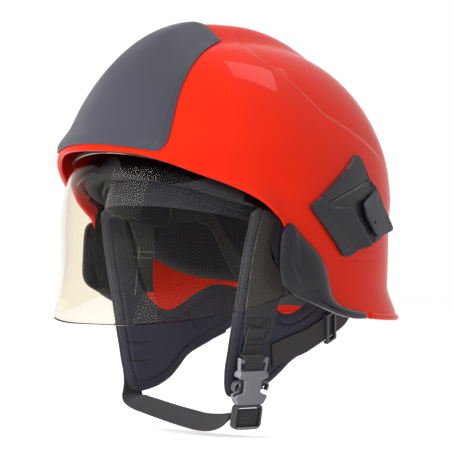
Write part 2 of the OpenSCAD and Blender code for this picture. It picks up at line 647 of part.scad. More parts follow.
module buckle_plug() {
    tongue = buckle_w - 2 * wall - 2 * prong_w - 2 * prong_travel - 2 * seat;
    color([0.1, 0.1, 0.11]) at_buckle() difference() {
        union() {
            block(buckle_w - 3, buckle_t - 1.5, plug_low, socket_low - seat);
            block(tongue, buckle_t - 2 * wall - 2 * run_gap, socket_low - 1, 5.5);
        }
        block(web_w + 2 * seat, buckle_t + 2, plug_slot[0], plug_slot[1]);
    }
}
// Squeeze button in the socket's side window, sliding inward
module buckle_prong(s) {
    slide_t = buckle_t - 2 * wall - 2 * run_gap;
    color([0.16, 0.16, 0.17]) at_buckle() translate([s * (buckle_w / 2 - wall - seat), 0, 0]) {
        block(2 * (prong_w - wall), slide_t, -11.5, 1.5);
        translate([s * (prong_w - wall), 0, 0]) block(2 * wall, slide_t, -11, 1);
    }
}
// Webbing of a given width along a path: each point is [x, y, z], side is across it
module ribbon(p, side, w, t) {
    n = len(p) - 1;
    function line(off, s) = [for (k = [0:n]) let(d = unit(p[min(k + 1, n)] - p[max(k - 1, 0)]),
        o = unit(cross(side[k], d))) p[k] + s * side[k] * w / 2 + o * off];
    slab([line(0, -1), line(0, 1)], [line(-t, -1), line(-t, 1)]);
}

// Webbing from the cheek flap down to the buckle's top bar
module buckle_web() {
    mid = [[-40, -97], [-40.8, -104.5], [-41.6, -112], [-42.4, -118.5]];
    function line(off, s) = concat(
        [for (m = mid) [flap_x(m[0], m[1]) + web_in + web_t + seat + off, m[0] + s * web_w / 2, m[1]]],
        [[buckle_mid.x + 1.4 + off, buckle_mid.y - 0.3 + s * web_w / 2, buckle_mid.z + 19.3]]);
    color([0.12, 0.12, 0.13]) slab([line(web_t, -1), line(web_t, 1)], [line(0, -1), line(0, 1)]);
}
// Loop of webbing in the plug's frame, round its lower bar
module plug_web() {
    color([0.12, 0.12, 0.13]) at_buckle()
        block(web_w, 2 * web_t, plug_slot[0] + seat, plug_slot[1] - 1.2);
}
// Chin webbing from under the far flap to the back of the plug's frame:
// each row is a point and the direction across the webbing
chin_path = [[[-64.5, -46, -134], [0, 1, 0]], [[-62, -47, -145], [0, 1, 0]],
    [[-59.2, -49, -158], [0.1, 0.9, 0.25]], [[-49, -51, -162.5], [0.1, 0.88, 0.45]],
    [[-36, -50, -165.5], [0, 0.84, 0.53]], [[-18, -48, -169.5], [-0.2, 0.75, 0.58]],
    [[0, -46, -173], [-0.42, 0.66, 0.62]], [[18, -45, -175.5], [-0.45, 0.68, 0.6]],
    [[34, -45, -175], [-0.3, 0.75, 0.58]], [[46.5, -44.5, -171.7], [-0.1, 0.85, 0.45]],
    [[55.2, -44, -167.5], [0.2, 0.97, 0.1]]];
module chin_web() {
    color([0.12, 0.12, 0.13])
        ribbon([for (r = chin_path) [r[0].x * buckle_mid.x / 69, r[0].y, r[0].z]], [for (r = chin_path) unit(r[1])], web_w, web_t);
}

// The right side is the left side mirrored
module other_side() {
    mirror([1, 0, 0]) children();
}
outer_shell();
front_plate();
side_cover();  // side_cover_left
other_side() side_cover();  // side_cover_right
lamp_bracket();  // lamp_bracket_left
other_side() lamp_bracket();  // lamp_bracket_right
lamp_clip();  // lamp_clip_left
other_side() lamp_clip();  // lamp_clip_right
face_visor();
visor_seal();
visor_hub();  // visor_hub_left
other_side() visor_hub();  // visor_hub_right
pivot_pin();  // pivot_pin_left
other_side() pivot_pin();  // pivot_pin_right
eye_shield();
eye_hub();  // eye_hub_left
other_side() eye_hub();  // eye_hub_right
impact_liner();
brow_pad();
headband();
nape_cradle();
size_knob();
crown_straps();
crown_pad();
strap_hanger();  // strap_hanger_left
other_side() strap_hanger();  // strap_hanger_right
hanger_snaps();
cheek_pad();  // cheek_pad_left
other_side() cheek_pad();  // cheek_pad_right
side_web();  // side_web_left
other_side() side_web();  // side_web_right
nape_web();  // nape_web_left
other_side() nape_web();  // nape_web_right
nape_slider();  // nape_slider_left
other_side() nape_slider();  // nape_slider_right
buckle_socket();
buckle_plug();
buckle_prong(-1);  // buckle_prong_front
buckle_prong(1);  // buckle_prong_rear
buckle_web();
plug_web();
chin_web();
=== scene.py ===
"""Looks of a fire helmet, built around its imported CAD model.

Lengths inside the classes are millimetres in the CAD frame (front is -Y, up is +Z, the
wearer's left is +X); meshes are written in metres. Every surface is a grid worked out
with numpy, from the same dome, visor and flap formulas as the CAD model.
"""
import json
import logging
import math
from dataclasses import dataclass
from enum import Enum

import bpy
import numpy as np
from mathutils import Matrix, Vector
from mathutils.bvhtree import BVHTree

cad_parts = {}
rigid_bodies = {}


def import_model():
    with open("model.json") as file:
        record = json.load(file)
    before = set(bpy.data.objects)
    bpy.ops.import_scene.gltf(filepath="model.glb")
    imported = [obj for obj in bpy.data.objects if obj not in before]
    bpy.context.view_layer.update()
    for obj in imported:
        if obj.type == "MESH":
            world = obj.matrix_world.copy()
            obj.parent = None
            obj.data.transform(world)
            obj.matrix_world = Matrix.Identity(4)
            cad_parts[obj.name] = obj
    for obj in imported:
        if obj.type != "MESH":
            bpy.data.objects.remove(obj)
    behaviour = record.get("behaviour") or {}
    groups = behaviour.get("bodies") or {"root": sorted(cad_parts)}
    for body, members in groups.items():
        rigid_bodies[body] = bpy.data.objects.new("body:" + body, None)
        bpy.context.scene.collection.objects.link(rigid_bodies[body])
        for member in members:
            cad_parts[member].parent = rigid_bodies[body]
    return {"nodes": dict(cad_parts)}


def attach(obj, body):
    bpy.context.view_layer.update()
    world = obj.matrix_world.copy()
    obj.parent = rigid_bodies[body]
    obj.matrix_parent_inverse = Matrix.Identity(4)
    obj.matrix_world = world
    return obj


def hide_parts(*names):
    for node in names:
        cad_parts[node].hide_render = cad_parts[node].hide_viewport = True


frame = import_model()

log = logging.getLogger("fire_helmet")
MM = 0.001
# Spacing of a wave texture's bands at scale 1.
BAND_SCALE = 0.314
Array = np.ndarray
Object = bpy.types.Object
Tree = bpy.types.NodeTree
Socket = bpy.types.NodeSocket
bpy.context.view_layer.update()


class Reach(Enum):
    """Which part of what shows an image point marks: an outermost place or the middle."""

    LEFT = (-1.0, 0.0)
    RIGHT = (1.0, 0.0)
    TOP = (0.0, -1.0)
    BOTTOM = (0.0, 1.0)
    MIDDLE = (0.0, 0.0)


# ---------------------------------------------------------------- plain maths
def smooth(t: Array | float) -> Array:
    """Smooth step: 3u^2 - 2u^3 of t held between 0 and 1."""
    u = np.clip(t, 0.0, 1.0)
    return u * u * (3 - 2 * u)


def power(v: Array, e: float) -> Array:
    """|v| to a power, with the sign of v."""
    return np.sign(v) * np.abs(v) ** e


def unit(v: Array) -> Array:
    """Vectors along the last axis, scaled to length 1."""
    return v / np.maximum(np.linalg.norm(v, axis=-1, keepdims=True), 1e-9)


def xyz(x: Array | float, y: Array | float, z: Array | float) -> Array:
    """Points from their three coordinates, each an array or one number."""
    return np.stack(np.broadcast_arrays(x, y, z), -1)


def curve(points: list | Array, t: Array) -> Array:
    """Smooth line through points (Catmull-Rom: a cubic through four neighbours).

    Args:
        points: the points the line passes, one row each.
        t: shares of the way along, 0 to 1, of any shape.

    Returns:
        The points of the line, with one more axis than t.
    """
    p = np.asarray(points, float)
    n = len(p) - 1
    k = np.clip(np.floor(t * n).astype(int), 0, n - 1)
    f = (t * n - k)[..., None]
    a, b = p[np.maximum(k - 1, 0)], p[k]
    c, d = p[k + 1], p[np.minimum(k + 2, n)]
    return 0.5 * (2 * b + (c - a) * f + (2 * a - 5 * b + 4 * c - d) * f**2
                  + (3 * b - a - 3 * c + d) * f**3)


def arc_lengths(p: Array, axis: int = 0) -> Array:
    """Running length along one axis of a grid of points.

    Args:
        p: the grid.
        axis: the axis to follow.

    Returns:
        The lengths.
    """
    step = np.linalg.norm(np.diff(p, axis=axis), axis=-1)
    pad = [(0, 0)] * step.ndim
    pad[axis] = (1, 0)
    return np.cumsum(np.pad(step, pad), axis=axis)


def aim(az: Array, el: Array) -> Array:
    """Unit directions from an angle round the head (0 = front) and an elevation, in degrees."""
    a, e = np.radians(az), np.radians(el)
    return xyz(np.sin(a) * np.cos(e), -np.cos(a) * np.cos(e), np.sin(e) + 0 * a)


# ---------------------------------------------------------------- meshes
def quads(rows: int, cols: int, wrap: bool = False) -> Array:
    """Quads of a grid whose normals follow (down the rows) x (along the columns).

    Args:
        rows: number of rows.
        cols: number of columns.
        wrap: True if the last column joins the first.

    Returns:
        Indices, four to a face.
    """
    i = np.arange(rows - 1)[:, None]
    j = np.arange(cols if wrap else cols - 1)[None, :]
    k = (j + 1) % cols
    return np.stack([i * cols + j, (i + 1) * cols + j, (i + 1) * cols + k, i * cols + k],
                    -1).reshape(-1, 4)


def make_mesh(name: str, points: Array, faces: list[Array], uv: Array | None = None) -> Object:
    """Puts arrays into a mesh object in metres, with its normals pointing outwards.

    Args:
        name: the object's name.
        points: vertices in millimetres.
        faces: index arrays, each with three or four columns.
        uv: a pair of millimetre values for each vertex, or None.

    Returns:
        The object, at the origin.
    """
    mesh = bpy.data.meshes.new(name)
    loops = np.concatenate([f.ravel() for f in faces]).astype(np.int32)
    totals = np.concatenate([np.full(len(f), f.shape[1]) for f in faces]).astype(np.int32)
    starts = np.concatenate([[0], np.cumsum(totals)[:-1]]).astype(np.int32)
    mesh.vertices.add(len(points))
    mesh.vertices.foreach_set("co", (np.asarray(points, float) * MM).ravel())
    mesh.loops.add(len(loops))
    mesh.loops.foreach_set("vertex_index", loops)
    mesh.polygons.add(len(totals))
    mesh.polygons.foreach_set("loop_start", starts)
    mesh.polygons.foreach_set("loop_total", totals)
    mesh.polygons.foreach_set("use_smooth", np.ones(len(totals), bool))
    if uv is not None:
        layer = mesh.uv_layers.new(name="UVMap")
        layer.data.foreach_set("uv", (np.asarray(uv, float)[loops] * MM).ravel())
    mesh.update(calc_edges=True)
    obj = bpy.data.objects.new(name, mesh)
    bpy.context.collection.objects.link(obj)
    return obj


def vertices(mesh: bpy.types.Mesh) -> Array:
    """Vertex places of a mesh, one row each.

    Args:
        mesh: the mesh.

    Returns:
        The places in the mesh's own unit.
    """
    co = np.empty(len(mesh.vertices) * 3)
    mesh.vertices.foreach_get("co", co)
    return co.reshape(-1, 3)


def slab(name: str, outer: Array, inner: Array, uv: Array | None = None,
         edge: float = 0.0, sharp: float = 35.0) -> Object:
    """Closed piece between two open grids; the outer one faces (rows) x (columns).

    The four sides are walls from one grid's border to the other's, and a bevel rounds
    the edges.

    Args:
        name: the object's name.
        outer: rows x columns x 3 points in millimetres.
        inner: the same for the back.
        uv: millimetre pairs for the grid, or None for running lengths.
        edge: width of the rounded edge in millimetres.
        sharp: angle above which an edge is rounded, in degrees.

    Returns:
        The object.
    """
    n, m = outer.shape[:2]
    s = n * m
    if uv is None:
        uv = np.stack([arc_lengths(outer, 1), arc_lengths(outer, 0)], -1)
    border = np.concatenate([np.arange(n - 1) * m, (n - 1) * m + np.arange(m - 1),
                             (np.arange(n - 1, 0, -1)) * m + m - 1, np.arange(m - 1, 0, -1)])
    after = np.roll(border, -1)
    walls = np.stack([after, border, border + s, after + s], -1)
    q = quads(n, m)
    pts = np.concatenate([outer.reshape(-1, 3), inner.reshape(-1, 3)])
    obj = make_mesh(name, pts, [q, q[:, ::-1] + s, walls], np.concatenate([uv.reshape(-1, 2)] * 2))
    if edge:
        round_edges(obj, edge, sharp)
    return obj


def round_edges(obj: Object, width: float, sharp: float = 35.0, segments: int = 3) -> None:
    """Adds a bevel of a width in millimetres to the edges sharper than an angle in degrees.

    Args:
        obj: the piece.
        width: width of the bevel.
        sharp: the angle.
        segments: steps of the bevel.
    """
    bevel = obj.modifiers.new("edge", "BEVEL")
    bevel.width, bevel.segments = width * MM, segments
    bevel.limit_method, bevel.angle_limit = "ANGLE", math.radians(sharp)
    bevel.miter_outer = "MITER_ARC"


def sweep(name: str, path: Array, section: Array, across: Array | None = None,
          closed: bool = False) -> Object:
    """A profile carried along a path.

    Each ring is path + profile.x * side + profile.y * normal, where side is across, made
    square to the path, and normal completes the frame.

    Args:
        name: the object's name.
        path: points in millimetres.
        section: profile points, counter-clockwise, millimetres.
        across: a side direction, one or one for each path point, or None for one that turns least.
        closed: True if the path joins its own start.

    Returns:
        The object, its ends closed with fans.
    """
    path = np.asarray(path, float)
    ahead = np.roll(path, -1, 0) - np.roll(path, 1, 0)
    if not closed:
        ahead[0], ahead[-1] = path[1] - path[0], path[-1] - path[-2]
    t = unit(ahead)
    if across is None:
        ref = np.array([0.0, 0.0, 1.0]) if abs(t[:, 2]).max() < 0.9 else np.array([0.3, 1.0, 0.2])
        across = np.cross(ref, t)
    side = unit(across - (across * t).sum(-1, keepdims=True) * t)
    normal = np.cross(t, side)
    rings = path[:, None] + section[None, :, :1] * side[:, None] + section[None, :, 1:] * normal[:, None]
    n, m = rings.shape[:2]
    q = quads(n, m, wrap=True)[:, ::-1]
    pts = rings.reshape(-1, 3)
    lengths = np.repeat(arc_lengths(path), m)
    around = np.tile(np.append(0, np.cumsum(np.linalg.norm(np.diff(section, axis=0), axis=1))), n)
    uv = np.stack([around, lengths], -1)
    faces = [q]
    if closed:
        last = np.stack([(n - 1) * m + np.arange(m), (n - 1) * m + (np.arange(m) + 1) % m,
                         (np.arange(m) + 1) % m, np.arange(m)], -1)
        faces.append(last)
    else:
        k = np.arange(m)
        pts = np.concatenate([pts, rings[0].mean(0)[None], rings[-1].mean(0)[None]])
        uv = np.concatenate([uv, uv[:1], uv[-1:]])
        faces += [np.stack([np.full(m, n * m), k, (k + 1) % m], -1)[:, ::-1],
                  np.stack([np.full(m, n * m + 1), (n - 1) * m + k, (n - 1) * m + (k + 1) % m], -1)]
    return make_mesh(name, pts, faces, uv)


def ring_section(r: float, n: int = 10, flat: float = 1.0) -> Array:
    """Round or flattened profile of radius r, counter-clockwise."""
    a = np.linspace(0, 2 * np.pi, n, endpoint=False)
    return np.stack([r * np.cos(a), r * flat * np.sin(a)], -1)


def web_section(w: float, t: float) -> Array:
    """Profile of flat webbing: a strip w wide and t thick with rounded edges.

    Args:
        w: width.
        t: thickness.

    Returns:
        The profile, closed.
    """
    a = np.linspace(-np.pi / 2, np.pi / 2, 5)
    right = np.stack([w / 2 - t / 2 + t / 2 * np.cos(a), t / 2 * np.sin(a)], -1)
    top = np.stack([np.linspace(w / 2 - t, -w / 2 + t, 9), np.full(9, t / 2)], -1)
    return np.concatenate([right, top, -right, -top])


def turned(name: str, profile: list | Array, at: Array, axis: Array, n: int = 64) -> Object:
    """A profile of [radius, height] points spun about an axis; radius 0 closes its ends.

    Args:
        name: the object's name.
        profile: radius and height along the axis, from the foot outwards and up.
        at: the foot of the axis.
        axis: its direction.
        n: steps round.

    Returns:
        The object.
    """
    p = np.asarray(profile, float)
    z = unit(np.asarray(axis, float))
    x = unit(np.cross(z, [0.0, 1.0, 0.1]))
    y = np.cross(z, x)
    a = np.linspace(0, 2 * np.pi, n, endpoint=False)[:, None]
    inner = p[1:-1] if p[0, 0] == 0 and p[-1, 0] == 0 else p
    r, h = inner[None, :, :1], inner[None, :, 1:]
    ring = np.asarray(at) + r * (np.cos(a)[..., None] * x + np.sin(a)[..., None] * y) + h * z
    m = len(inner)
    pts = np.concatenate([ring.reshape(-1, 3), [np.asarray(at) + p[0, 1] * z, np.asarray(at) + p[-1, 1] * z]])
    i = np.arange(n)[:, None]
    j = np.arange(m - 1)[None, :]
    k = (i + 1) % n
    q = np.stack([i * m + j, k * m + j, k * m + j + 1, i * m + j + 1], -1).reshape(-1, 4)
    i, k = i.ravel(), k.ravel()
    caps = [np.stack([np.full(n, n * m), k * m, i * m], -1),
            np.stack([np.full(n, n * m + 1), i * m + m - 1, k * m + m - 1], -1)]
    return make_mesh(name, pts, [q, *caps])


def mirrored(obj: Object, name: str) -> Object:
    """A copy of a piece on the other side: x changes sign and the faces turn round.

    Args:
        obj: the left piece.
        name: the copy's name.

    Returns:
        The copy.
    """
    mesh = obj.data.copy()
    mesh.vertices.foreach_set("co", (vertices(mesh) * [-1, 1, 1]).ravel())
    mesh.flip_normals()
    mesh.update()
    copy = obj.copy()
    copy.data, copy.name = mesh, name
    mesh.name = name
    bpy.context.collection.objects.link(copy)
    return copy


def joined(name: str, parts: list[Object]) -> Object:
    """Several closed meshes as the one object; they keep their UVs and modifiers of the first.

    Args:
        name: the object's name.
        parts: the meshes.

    Returns:
        The object.
    """
    with bpy.context.temp_override(active_object=parts[0], object=parts[0],
                                   selected_objects=parts, selected_editable_objects=parts):
        bpy.ops.object.join()
    parts[0].name = name
    return parts[0]


def stitches(name: str, path: Array, normal: Array, length: float, gap: float,
             r: float = 0.28) -> Object:
    """A row of thread stitches along a line: a short rounded bar of 6 sides at each step.

    Args:
        name: the object's name.
        path: dense points of the line, millimetres.
        normal: outward direction at each point.
        length: length of one stitch.
        gap: space between two.
        r: radius of the thread.

    Returns:
        The object.
    """
    run = arc_lengths(path)
    at = np.arange(gap, run[-1] - length, length + gap)
    ends = [np.stack([np.interp(at + s, run, path[:, c]) for c in range(3)], -1) for s in (0, length)]
    nrm = unit(np.stack([np.interp(at, run, normal[:, c]) for c in range(3)], -1))
    t = unit(ends[1] - ends[0])
    side = np.cross(nrm, t)
    a = np.linspace(0, 2 * np.pi, 6, endpoint=False)
    share = np.array([0.0, 0.12, 0.5, 0.88, 1.0])
    fat = np.array([0.35, 0.9, 1.0, 0.9, 0.35]) * r
    lift = np.array([-0.5, 0.2, 0.55, 0.2, -0.5]) * r
    mid = (ends[0][:, None] + share[None, :, None] * (ends[1] - ends[0])[:, None]
           + lift[None, :, None] * nrm[:, None])
    ring = (mid[:, :, None] + fat[None, :, None, None] * (np.cos(a)[None, None, :, None] * side[:, None, None]
            + np.sin(a)[None, None, :, None] * nrm[:, None, None]))
    k, per = len(at), 30
    base = quads(5, 6, wrap=True)[:, ::-1]
    q = (base[None] + (np.arange(k) * per)[:, None, None]).reshape(-1, 4)
    caps = np.array([[5, 4, 3, 2, 1, 0], [24, 25, 26, 27, 28, 29]])
    c = (caps[None] + (np.arange(k) * per)[:, None, None]).reshape(-1, 6)
    return make_mesh(name, ring.reshape(-1, 3), [q, c])


# ---------------------------------------------------------------- finishes
def tone(code: str) -> tuple[float, float, float, float]:
    """An sRGB hex value as linear red, green, blue and alpha.

    Args:
        code: the hex value.

    Returns:
        The linear colour.
    """
    s = np.array([int(code[i:i + 2], 16) for i in (1, 3, 5)]) / 255
    c = np.where(s <= 0.04045, s / 12.92, ((s + 0.055) / 1.055) ** 2.4)
    return (float(c[0]), float(c[1]), float(c[2]), 1.0)


def add(tree: Tree, kind: str, props: dict | None = None,
        values: dict | None = None, links: dict | None = None) -> bpy.types.Node:
    """Adds one node.

    Args:
        tree: the node tree.
        kind: the node's type.
        props: settings of the node itself.
        values: fixed values of its sockets.
        links: its sockets and the output each one is fed from.

    Returns:
        The node.
    """
    node = tree.nodes.new(kind)
    for key, value in (props or {}).items():
        setattr(node, key, value)
    for key, value in (values or {}).items():
        node.inputs[key].default_value = value
    for key, source in (links or {}).items():
        tree.links.new(source, node.inputs[key])
    return node


def begin(name: str) -> tuple[bpy.types.Material, Tree]:
    """A new material with an empty tree.

    Args:
        name: the material's name.

    Returns:
        The material and its tree.
    """
    mat = bpy.data.materials.new(name)
    mat.use_nodes = True
    mat.node_tree.nodes.clear()
    return mat, mat.node_tree


def noise(tree: Tree, at: Socket, size: float, detail: float,
          roughness: float = 0.5) -> Socket:
    """Noise whose features have a size in metres.

    Args:
        tree: the node tree.
        at: the coordinates.
        size: the features' size.
        detail: number of finer layers.
        roughness: weight of the finer layers.

    Returns:
        Its value, about 0.3 to 0.7.
    """
    return add(tree, "ShaderNodeTexNoise", None,
               {"Scale": 1 / size, "Detail": detail, "Roughness": roughness}, {"Vector": at}).outputs["Fac"]


def waves(tree: Tree, at: Socket, along: str, size: float, waver: float,
          detail: float, fine: float = 1.0) -> Socket:
    """Sine bands.

    Args:
        tree: the node tree.
        at: the coordinates.
        along: axis that the bands follow one another on.
        size: width of a band and its gap in metres.
        waver: how far the bands wander.
        detail: number of finer layers.
        fine: scale of the finest layer.

    Returns:
        Its value, 0 to 1.
    """
    return add(tree, "ShaderNodeTexWave", {"bands_direction": along},
               {"Scale": BAND_SCALE / size, "Distortion": waver, "Detail": detail, "Detail Scale": fine},
               {"Vector": at}).outputs["Fac"]


def spread(tree: Tree, value: Socket, low: float, high: float,
           start: float = 0.0, stop: float = 1.0) -> Socket:
    """A value from start to stop made one from low to high, held at both ends."""
    return add(tree, "ShaderNodeMapRange", None, {"From Min": start, "From Max": stop, "To Min": low,
               "To Max": high}, {"Value": value}).outputs[0]


def product(tree: Tree, a: Socket, b: Socket) -> Socket:
    """One value times another."""
    return add(tree, "ShaderNodeMath", {"operation": "MULTIPLY"}, links={0: a, 1: b}).outputs[0]


def blend(tree: Tree, share: Socket, first: str, second: str) -> Socket:
    """Mixes two colours.

    Args:
        tree: the node tree.
        share: share of the second colour.
        first: sRGB hex value.
        second: sRGB hex value.

    Returns:
        The colour.
    """
    node = add(tree, "ShaderNodeMix", {"data_type": "RGBA"}, links={0: share})
    node.inputs[6].default_value, node.inputs[7].default_value = tone(first), tone(second)
    return node.outputs[2]


def relief(tree: Tree, height: Socket, strength: float,
           depth: float) -> Socket:
    """Bump normal from a height, its depth in metres."""
    return add(tree, "ShaderNodeBump", None, {"Strength": strength, "Distance": depth},
               {"Height": height}).outputs[0]


def end(tree: Tree, shader: bpy.types.Node) -> None:
    """Joins the shader to the material's output."""
    add(tree, "ShaderNodeOutputMaterial", links={"Surface": shader.outputs[0]})


def dress(obj: Object, finish: "Finish") -> None:
    """Gives a piece its finish, on every face.

    Args:
        obj: the piece.
        finish: its finish.
    """
    mat = bpy.data.materials.get(finish.name) or finish.material()
    obj.data.materials.clear()
    obj.data.materials.append(mat)


@dataclass(frozen=True)
class Finish:
    """A surface finish: its name and its colour as an sRGB hex value."""

    name: str
    colour: str

    def material(self) -> bpy.types.Material:
        """Builds the material."""
        raise NotImplementedError


@dataclass(frozen=True)
class Lacquer(Finish):
    """Sprayed and clear-coated lacquer over a moulded shell.

    The eye sees a deep even colour under a sharp reflection that wavers slightly, the
    orange peel of a sprayed coat, with specks of dust in it.
    """

    deep: str = "#A00C06"
    roughness: float = 0.38
    coat: float = 0.42
    coat_roughness: float = 0.05
    coat_ior: float = 1.27
    under_gloss: float = 0.03
    peel: float = 4.0

    def material(self) -> bpy.types.Material:
        """Colour drifts between two tones over 70 mm; the coat's bump has the peel's size.

        Returns:
            The material.
        """
        mat, tree = begin(self.name)
        at = add(tree, "ShaderNodeTexCoord").outputs["Object"]
        drift = spread(tree, noise(tree, at, 0.07, 2.0), 0.0, 0.10, 0.3, 0.7)
        colour = blend(tree, drift, self.colour, self.deep)
        coat = relief(tree, noise(tree, at, self.peel * MM, 1.0), 0.12, 0.00004)
        rough = spread(tree, noise(tree, at, 0.0009, 2.0), self.roughness - 0.05, self.roughness + 0.07)
        end(tree, add(tree, "ShaderNodeBsdfPrincipled",
                      values={"Coat Weight": self.coat, "Coat Roughness": self.coat_roughness,
                              "Coat IOR": self.coat_ior, "Specular IOR Level": self.under_gloss, "IOR": 1.5},
                      links={"Base Color": colour, "Roughness": rough, "Coat Normal": coat}))
        return mat


@dataclass(frozen=True)
class Moulded(Finish):
    """Injection-moulded nylon or ABS with a spark-eroded grain.

    The grain breaks the reflection into a soft even sheen; convex edges carry a painted highlight, a lighter
    tone than the faces.
    """

    edge_highlight: str = "#55555C"
    roughness: float = 0.42
    grain: float = 0.7
    depth: float = 0.03
    metal: float = 0.0
    ior: float = 1.38

    def material(self) -> bpy.types.Material:
        """Grain bump at its real size, roughness that varies, and a painted highlight: a lighter tone on
        convex edges.

        Returns:
            The material.
        """
        mat, tree = begin(self.name)
        at = add(tree, "ShaderNodeTexCoord").outputs["Object"]
        bump = relief(tree, noise(tree, at, self.grain * MM, 3.0, 0.6), 0.5, self.depth * MM)
        cloud = noise(tree, at, 0.03, 4.0)
        rough = spread(tree, cloud, self.roughness - 0.06, self.roughness + 0.08, 0.3, 0.7)
        # Painted highlight: convex edges, found by pointiness, are blended up to halfway towards the lighter
        # edge tone.
        edge = add(tree, "ShaderNodeNewGeometry").outputs["Pointiness"]
        colour = blend(tree, spread(tree, edge, 0.0, 0.5, 0.51, 0.58), self.colour, self.edge_highlight)
        end(tree, add(tree, "ShaderNodeBsdfPrincipled", values={"IOR": self.ior, "Metallic": self.metal},
                      links={"Base Color": colour, "Roughness": rough, "Normal": bump}))
        return mat


@dataclass(frozen=True)
class Polycarbonate(Finish):
    """Hard-coated clear or smoked polycarbonate sheet.

    It bends light at both faces, mirrors the room weakly and tints what lies behind it,
    more where the view passes it at a slant or twice.
    """

    roughness: float = 0.01
    ior: float = 1.13

    def material(self) -> bpy.types.Material:
        """Full transmission with the tint at each face; faint wipe marks in the roughness.

        Returns:
            The material.
        """
        mat, tree = begin(self.name)
        at = add(tree, "ShaderNodeTexCoord").outputs["Object"]
        rough = spread(tree, noise(tree, at, 0.02, 5.0), self.roughness, self.roughness + 0.03, 0.4, 0.8)
        end(tree, add(tree, "ShaderNodeBsdfPrincipled",
                      values={"Base Color": tone(self.colour), "Transmission Weight": 1.0, "IOR": self.ior},
                      links={"Roughness": rough}))
        return mat


@dataclass(frozen=True)
class Webbing(Finish):
    """Woven polyamide webbing: weft ribs across it and fine warp threads along it.

    The ribs catch the light as short bars, the edges are a tighter selvedge.
    """

    light: str = "#4A4A50"
    rib: float = 1.3
    thread: float = 0.8

    def material(self) -> bpy.types.Material:
        """Ribs and threads are sine bands on the piece's UV map, whose unit is one metre.

        Returns:
            The material.
        """
        mat, tree = begin(self.name)
        uv = add(tree, "ShaderNodeTexCoord").outputs["UV"]
        ribs = waves(tree, uv, "Y", self.rib * MM, 0.6, 1.0)
        cross = product(tree, ribs, waves(tree, uv, "X", self.thread * MM, 0.3, 2.0))
        height = add(tree, "ShaderNodeMath", {"operation": "MULTIPLY_ADD"}, {1: 0.55}, {0: ribs, 2: cross})
        bump = relief(tree, height.outputs[0], 0.7, 0.0003)
        end(tree, add(tree, "ShaderNodeBsdfPrincipled",
                      values={"Roughness": 0.78, "Sheen Weight": 0.12, "Sheen Roughness": 0.4,
                              "Specular IOR Level": 0.35},
                      links={"Base Color": blend(tree, cross, self.colour, self.light), "Normal": bump}))
        return mat


@dataclass(frozen=True)
class PadCloth(Finish):
    """Knitted cover cloth laminated to foam: fine loops with a soft bloom at grazing light."""

    light: str = "#3A3A46"
    loop: float = 1.1
    sheen: float = 0.18

    def material(self) -> bpy.types.Material:
        """Loops are two crossed sine bands over y and z; larger noise gives the bloom.

        Returns:
            The material.
        """
        mat, tree = begin(self.name)
        at = add(tree, "ShaderNodeTexCoord").outputs["Object"]
        loops = product(tree, waves(tree, at, "Z", self.loop * MM, 1.2, 1.0, 2.0),
                        waves(tree, at, "Y", self.loop * MM, 1.2, 1.0, 2.0))
        colour = blend(tree, product(tree, loops, noise(tree, at, 0.018, 3.0)), self.colour, self.light)
        end(tree, add(tree, "ShaderNodeBsdfPrincipled",
                      values={"Roughness": 0.85, "Sheen Weight": self.sheen, "Sheen Roughness": 0.35,
                              "Specular IOR Level": 0.3},
                      links={"Base Color": colour, "Normal": relief(tree, loops, 0.55, 0.00022)}))
        return mat


RED = Lacquer("gel_coat_red", "#FF2A09", deep="#DC1C06")
# In each moulded finish the second tone is a painted highlight, a lighter colour on the convex edges.
PLATE = Moulded("front_plate_satin_grey", "#44444F", edge_highlight="#80808A", roughness=0.46, grain=1.4, depth=0.06)
COVER = Moulded("cover_gloss_black", "#16161F", edge_highlight="#34353E", roughness=0.22, grain=1.6, depth=0.008,
                ior=1.38)
BRACKET = Moulded("bracket_moulded_grey", "#25242B", edge_highlight="#60626C", roughness=0.36, grain=1.2, depth=0.04,
                  ior=1.36)
CLIP = Moulded("clip_moulded_grey", "#3A3941", edge_highlight="#777A85", roughness=0.42, grain=1.2, depth=0.04,
               ior=1.34)
VISOR = Polycarbonate("visor_clear_polycarbonate", "#FCF7EA")
SMOKE = Polycarbonate("shield_smoke_polycarbonate", "#84858C", roughness=0.03)
SEAL = Moulded("seal_black_rubber", "#1D1D20", edge_highlight="#2C2C30", roughness=0.6, grain=1.2, depth=0.03)
FOAM = Moulded("liner_navy_foam", "#161724", edge_highlight="#262838", roughness=0.7, grain=1.8, depth=0.12)
STEEL = Moulded("pin_turned_steel", "#B9BBBE", edge_highlight="#DADBDD", roughness=0.3, grain=0.5, depth=0.005,
                metal=1.0)
BAND = Moulded("band_black_nylon", "#1A1A1E", edge_highlight="#3C3C42", roughness=0.45, grain=1.0)
BUCKLE = Moulded("buckle_grey_acetal", "#7E7E86", edge_highlight="#A4A4AC", roughness=0.34, grain=0.8, depth=0.03)
DARK_PLUG = Moulded("plug_black_acetal", "#25252B", edge_highlight="#77777F", roughness=0.28, grain=0.8, depth=0.02,
                    ior=1.42)
GRIP = Moulded("grip_black_acetal", "#3A3A41", edge_highlight="#A0A0A8", roughness=0.2, grain=0.8, depth=0.01, ior=1.5)
SLIDER = Moulded("slider_black_acetal", "#1F1F24", edge_highlight="#55555C", roughness=0.34, grain=0.8, depth=0.02)
WEB = Webbing("webbing_black_polyamide", "#242429", light="#565559")
PAD = PadCloth("pad_navy_knit", "#323341", light="#545564")
BROW = PadCloth("brow_navy_knit", "#191B29", light="#2C2E3D")
PIPING = PadCloth("piping_black_binding", "#17171B", light="#35353B", loop=0.9)
THREAD = Webbing("thread_black", "#101014", light="#2C2C32", rib=0.5, thread=0.3)
PALE_THREAD = Webbing("thread_grey", "#8C8C92", light="#A8A8AE", rib=0.5, thread=0.3)
GATHER = Webbing("thread_dusk", "#34363F", light="#4A4C55", rib=0.5, thread=0.3)


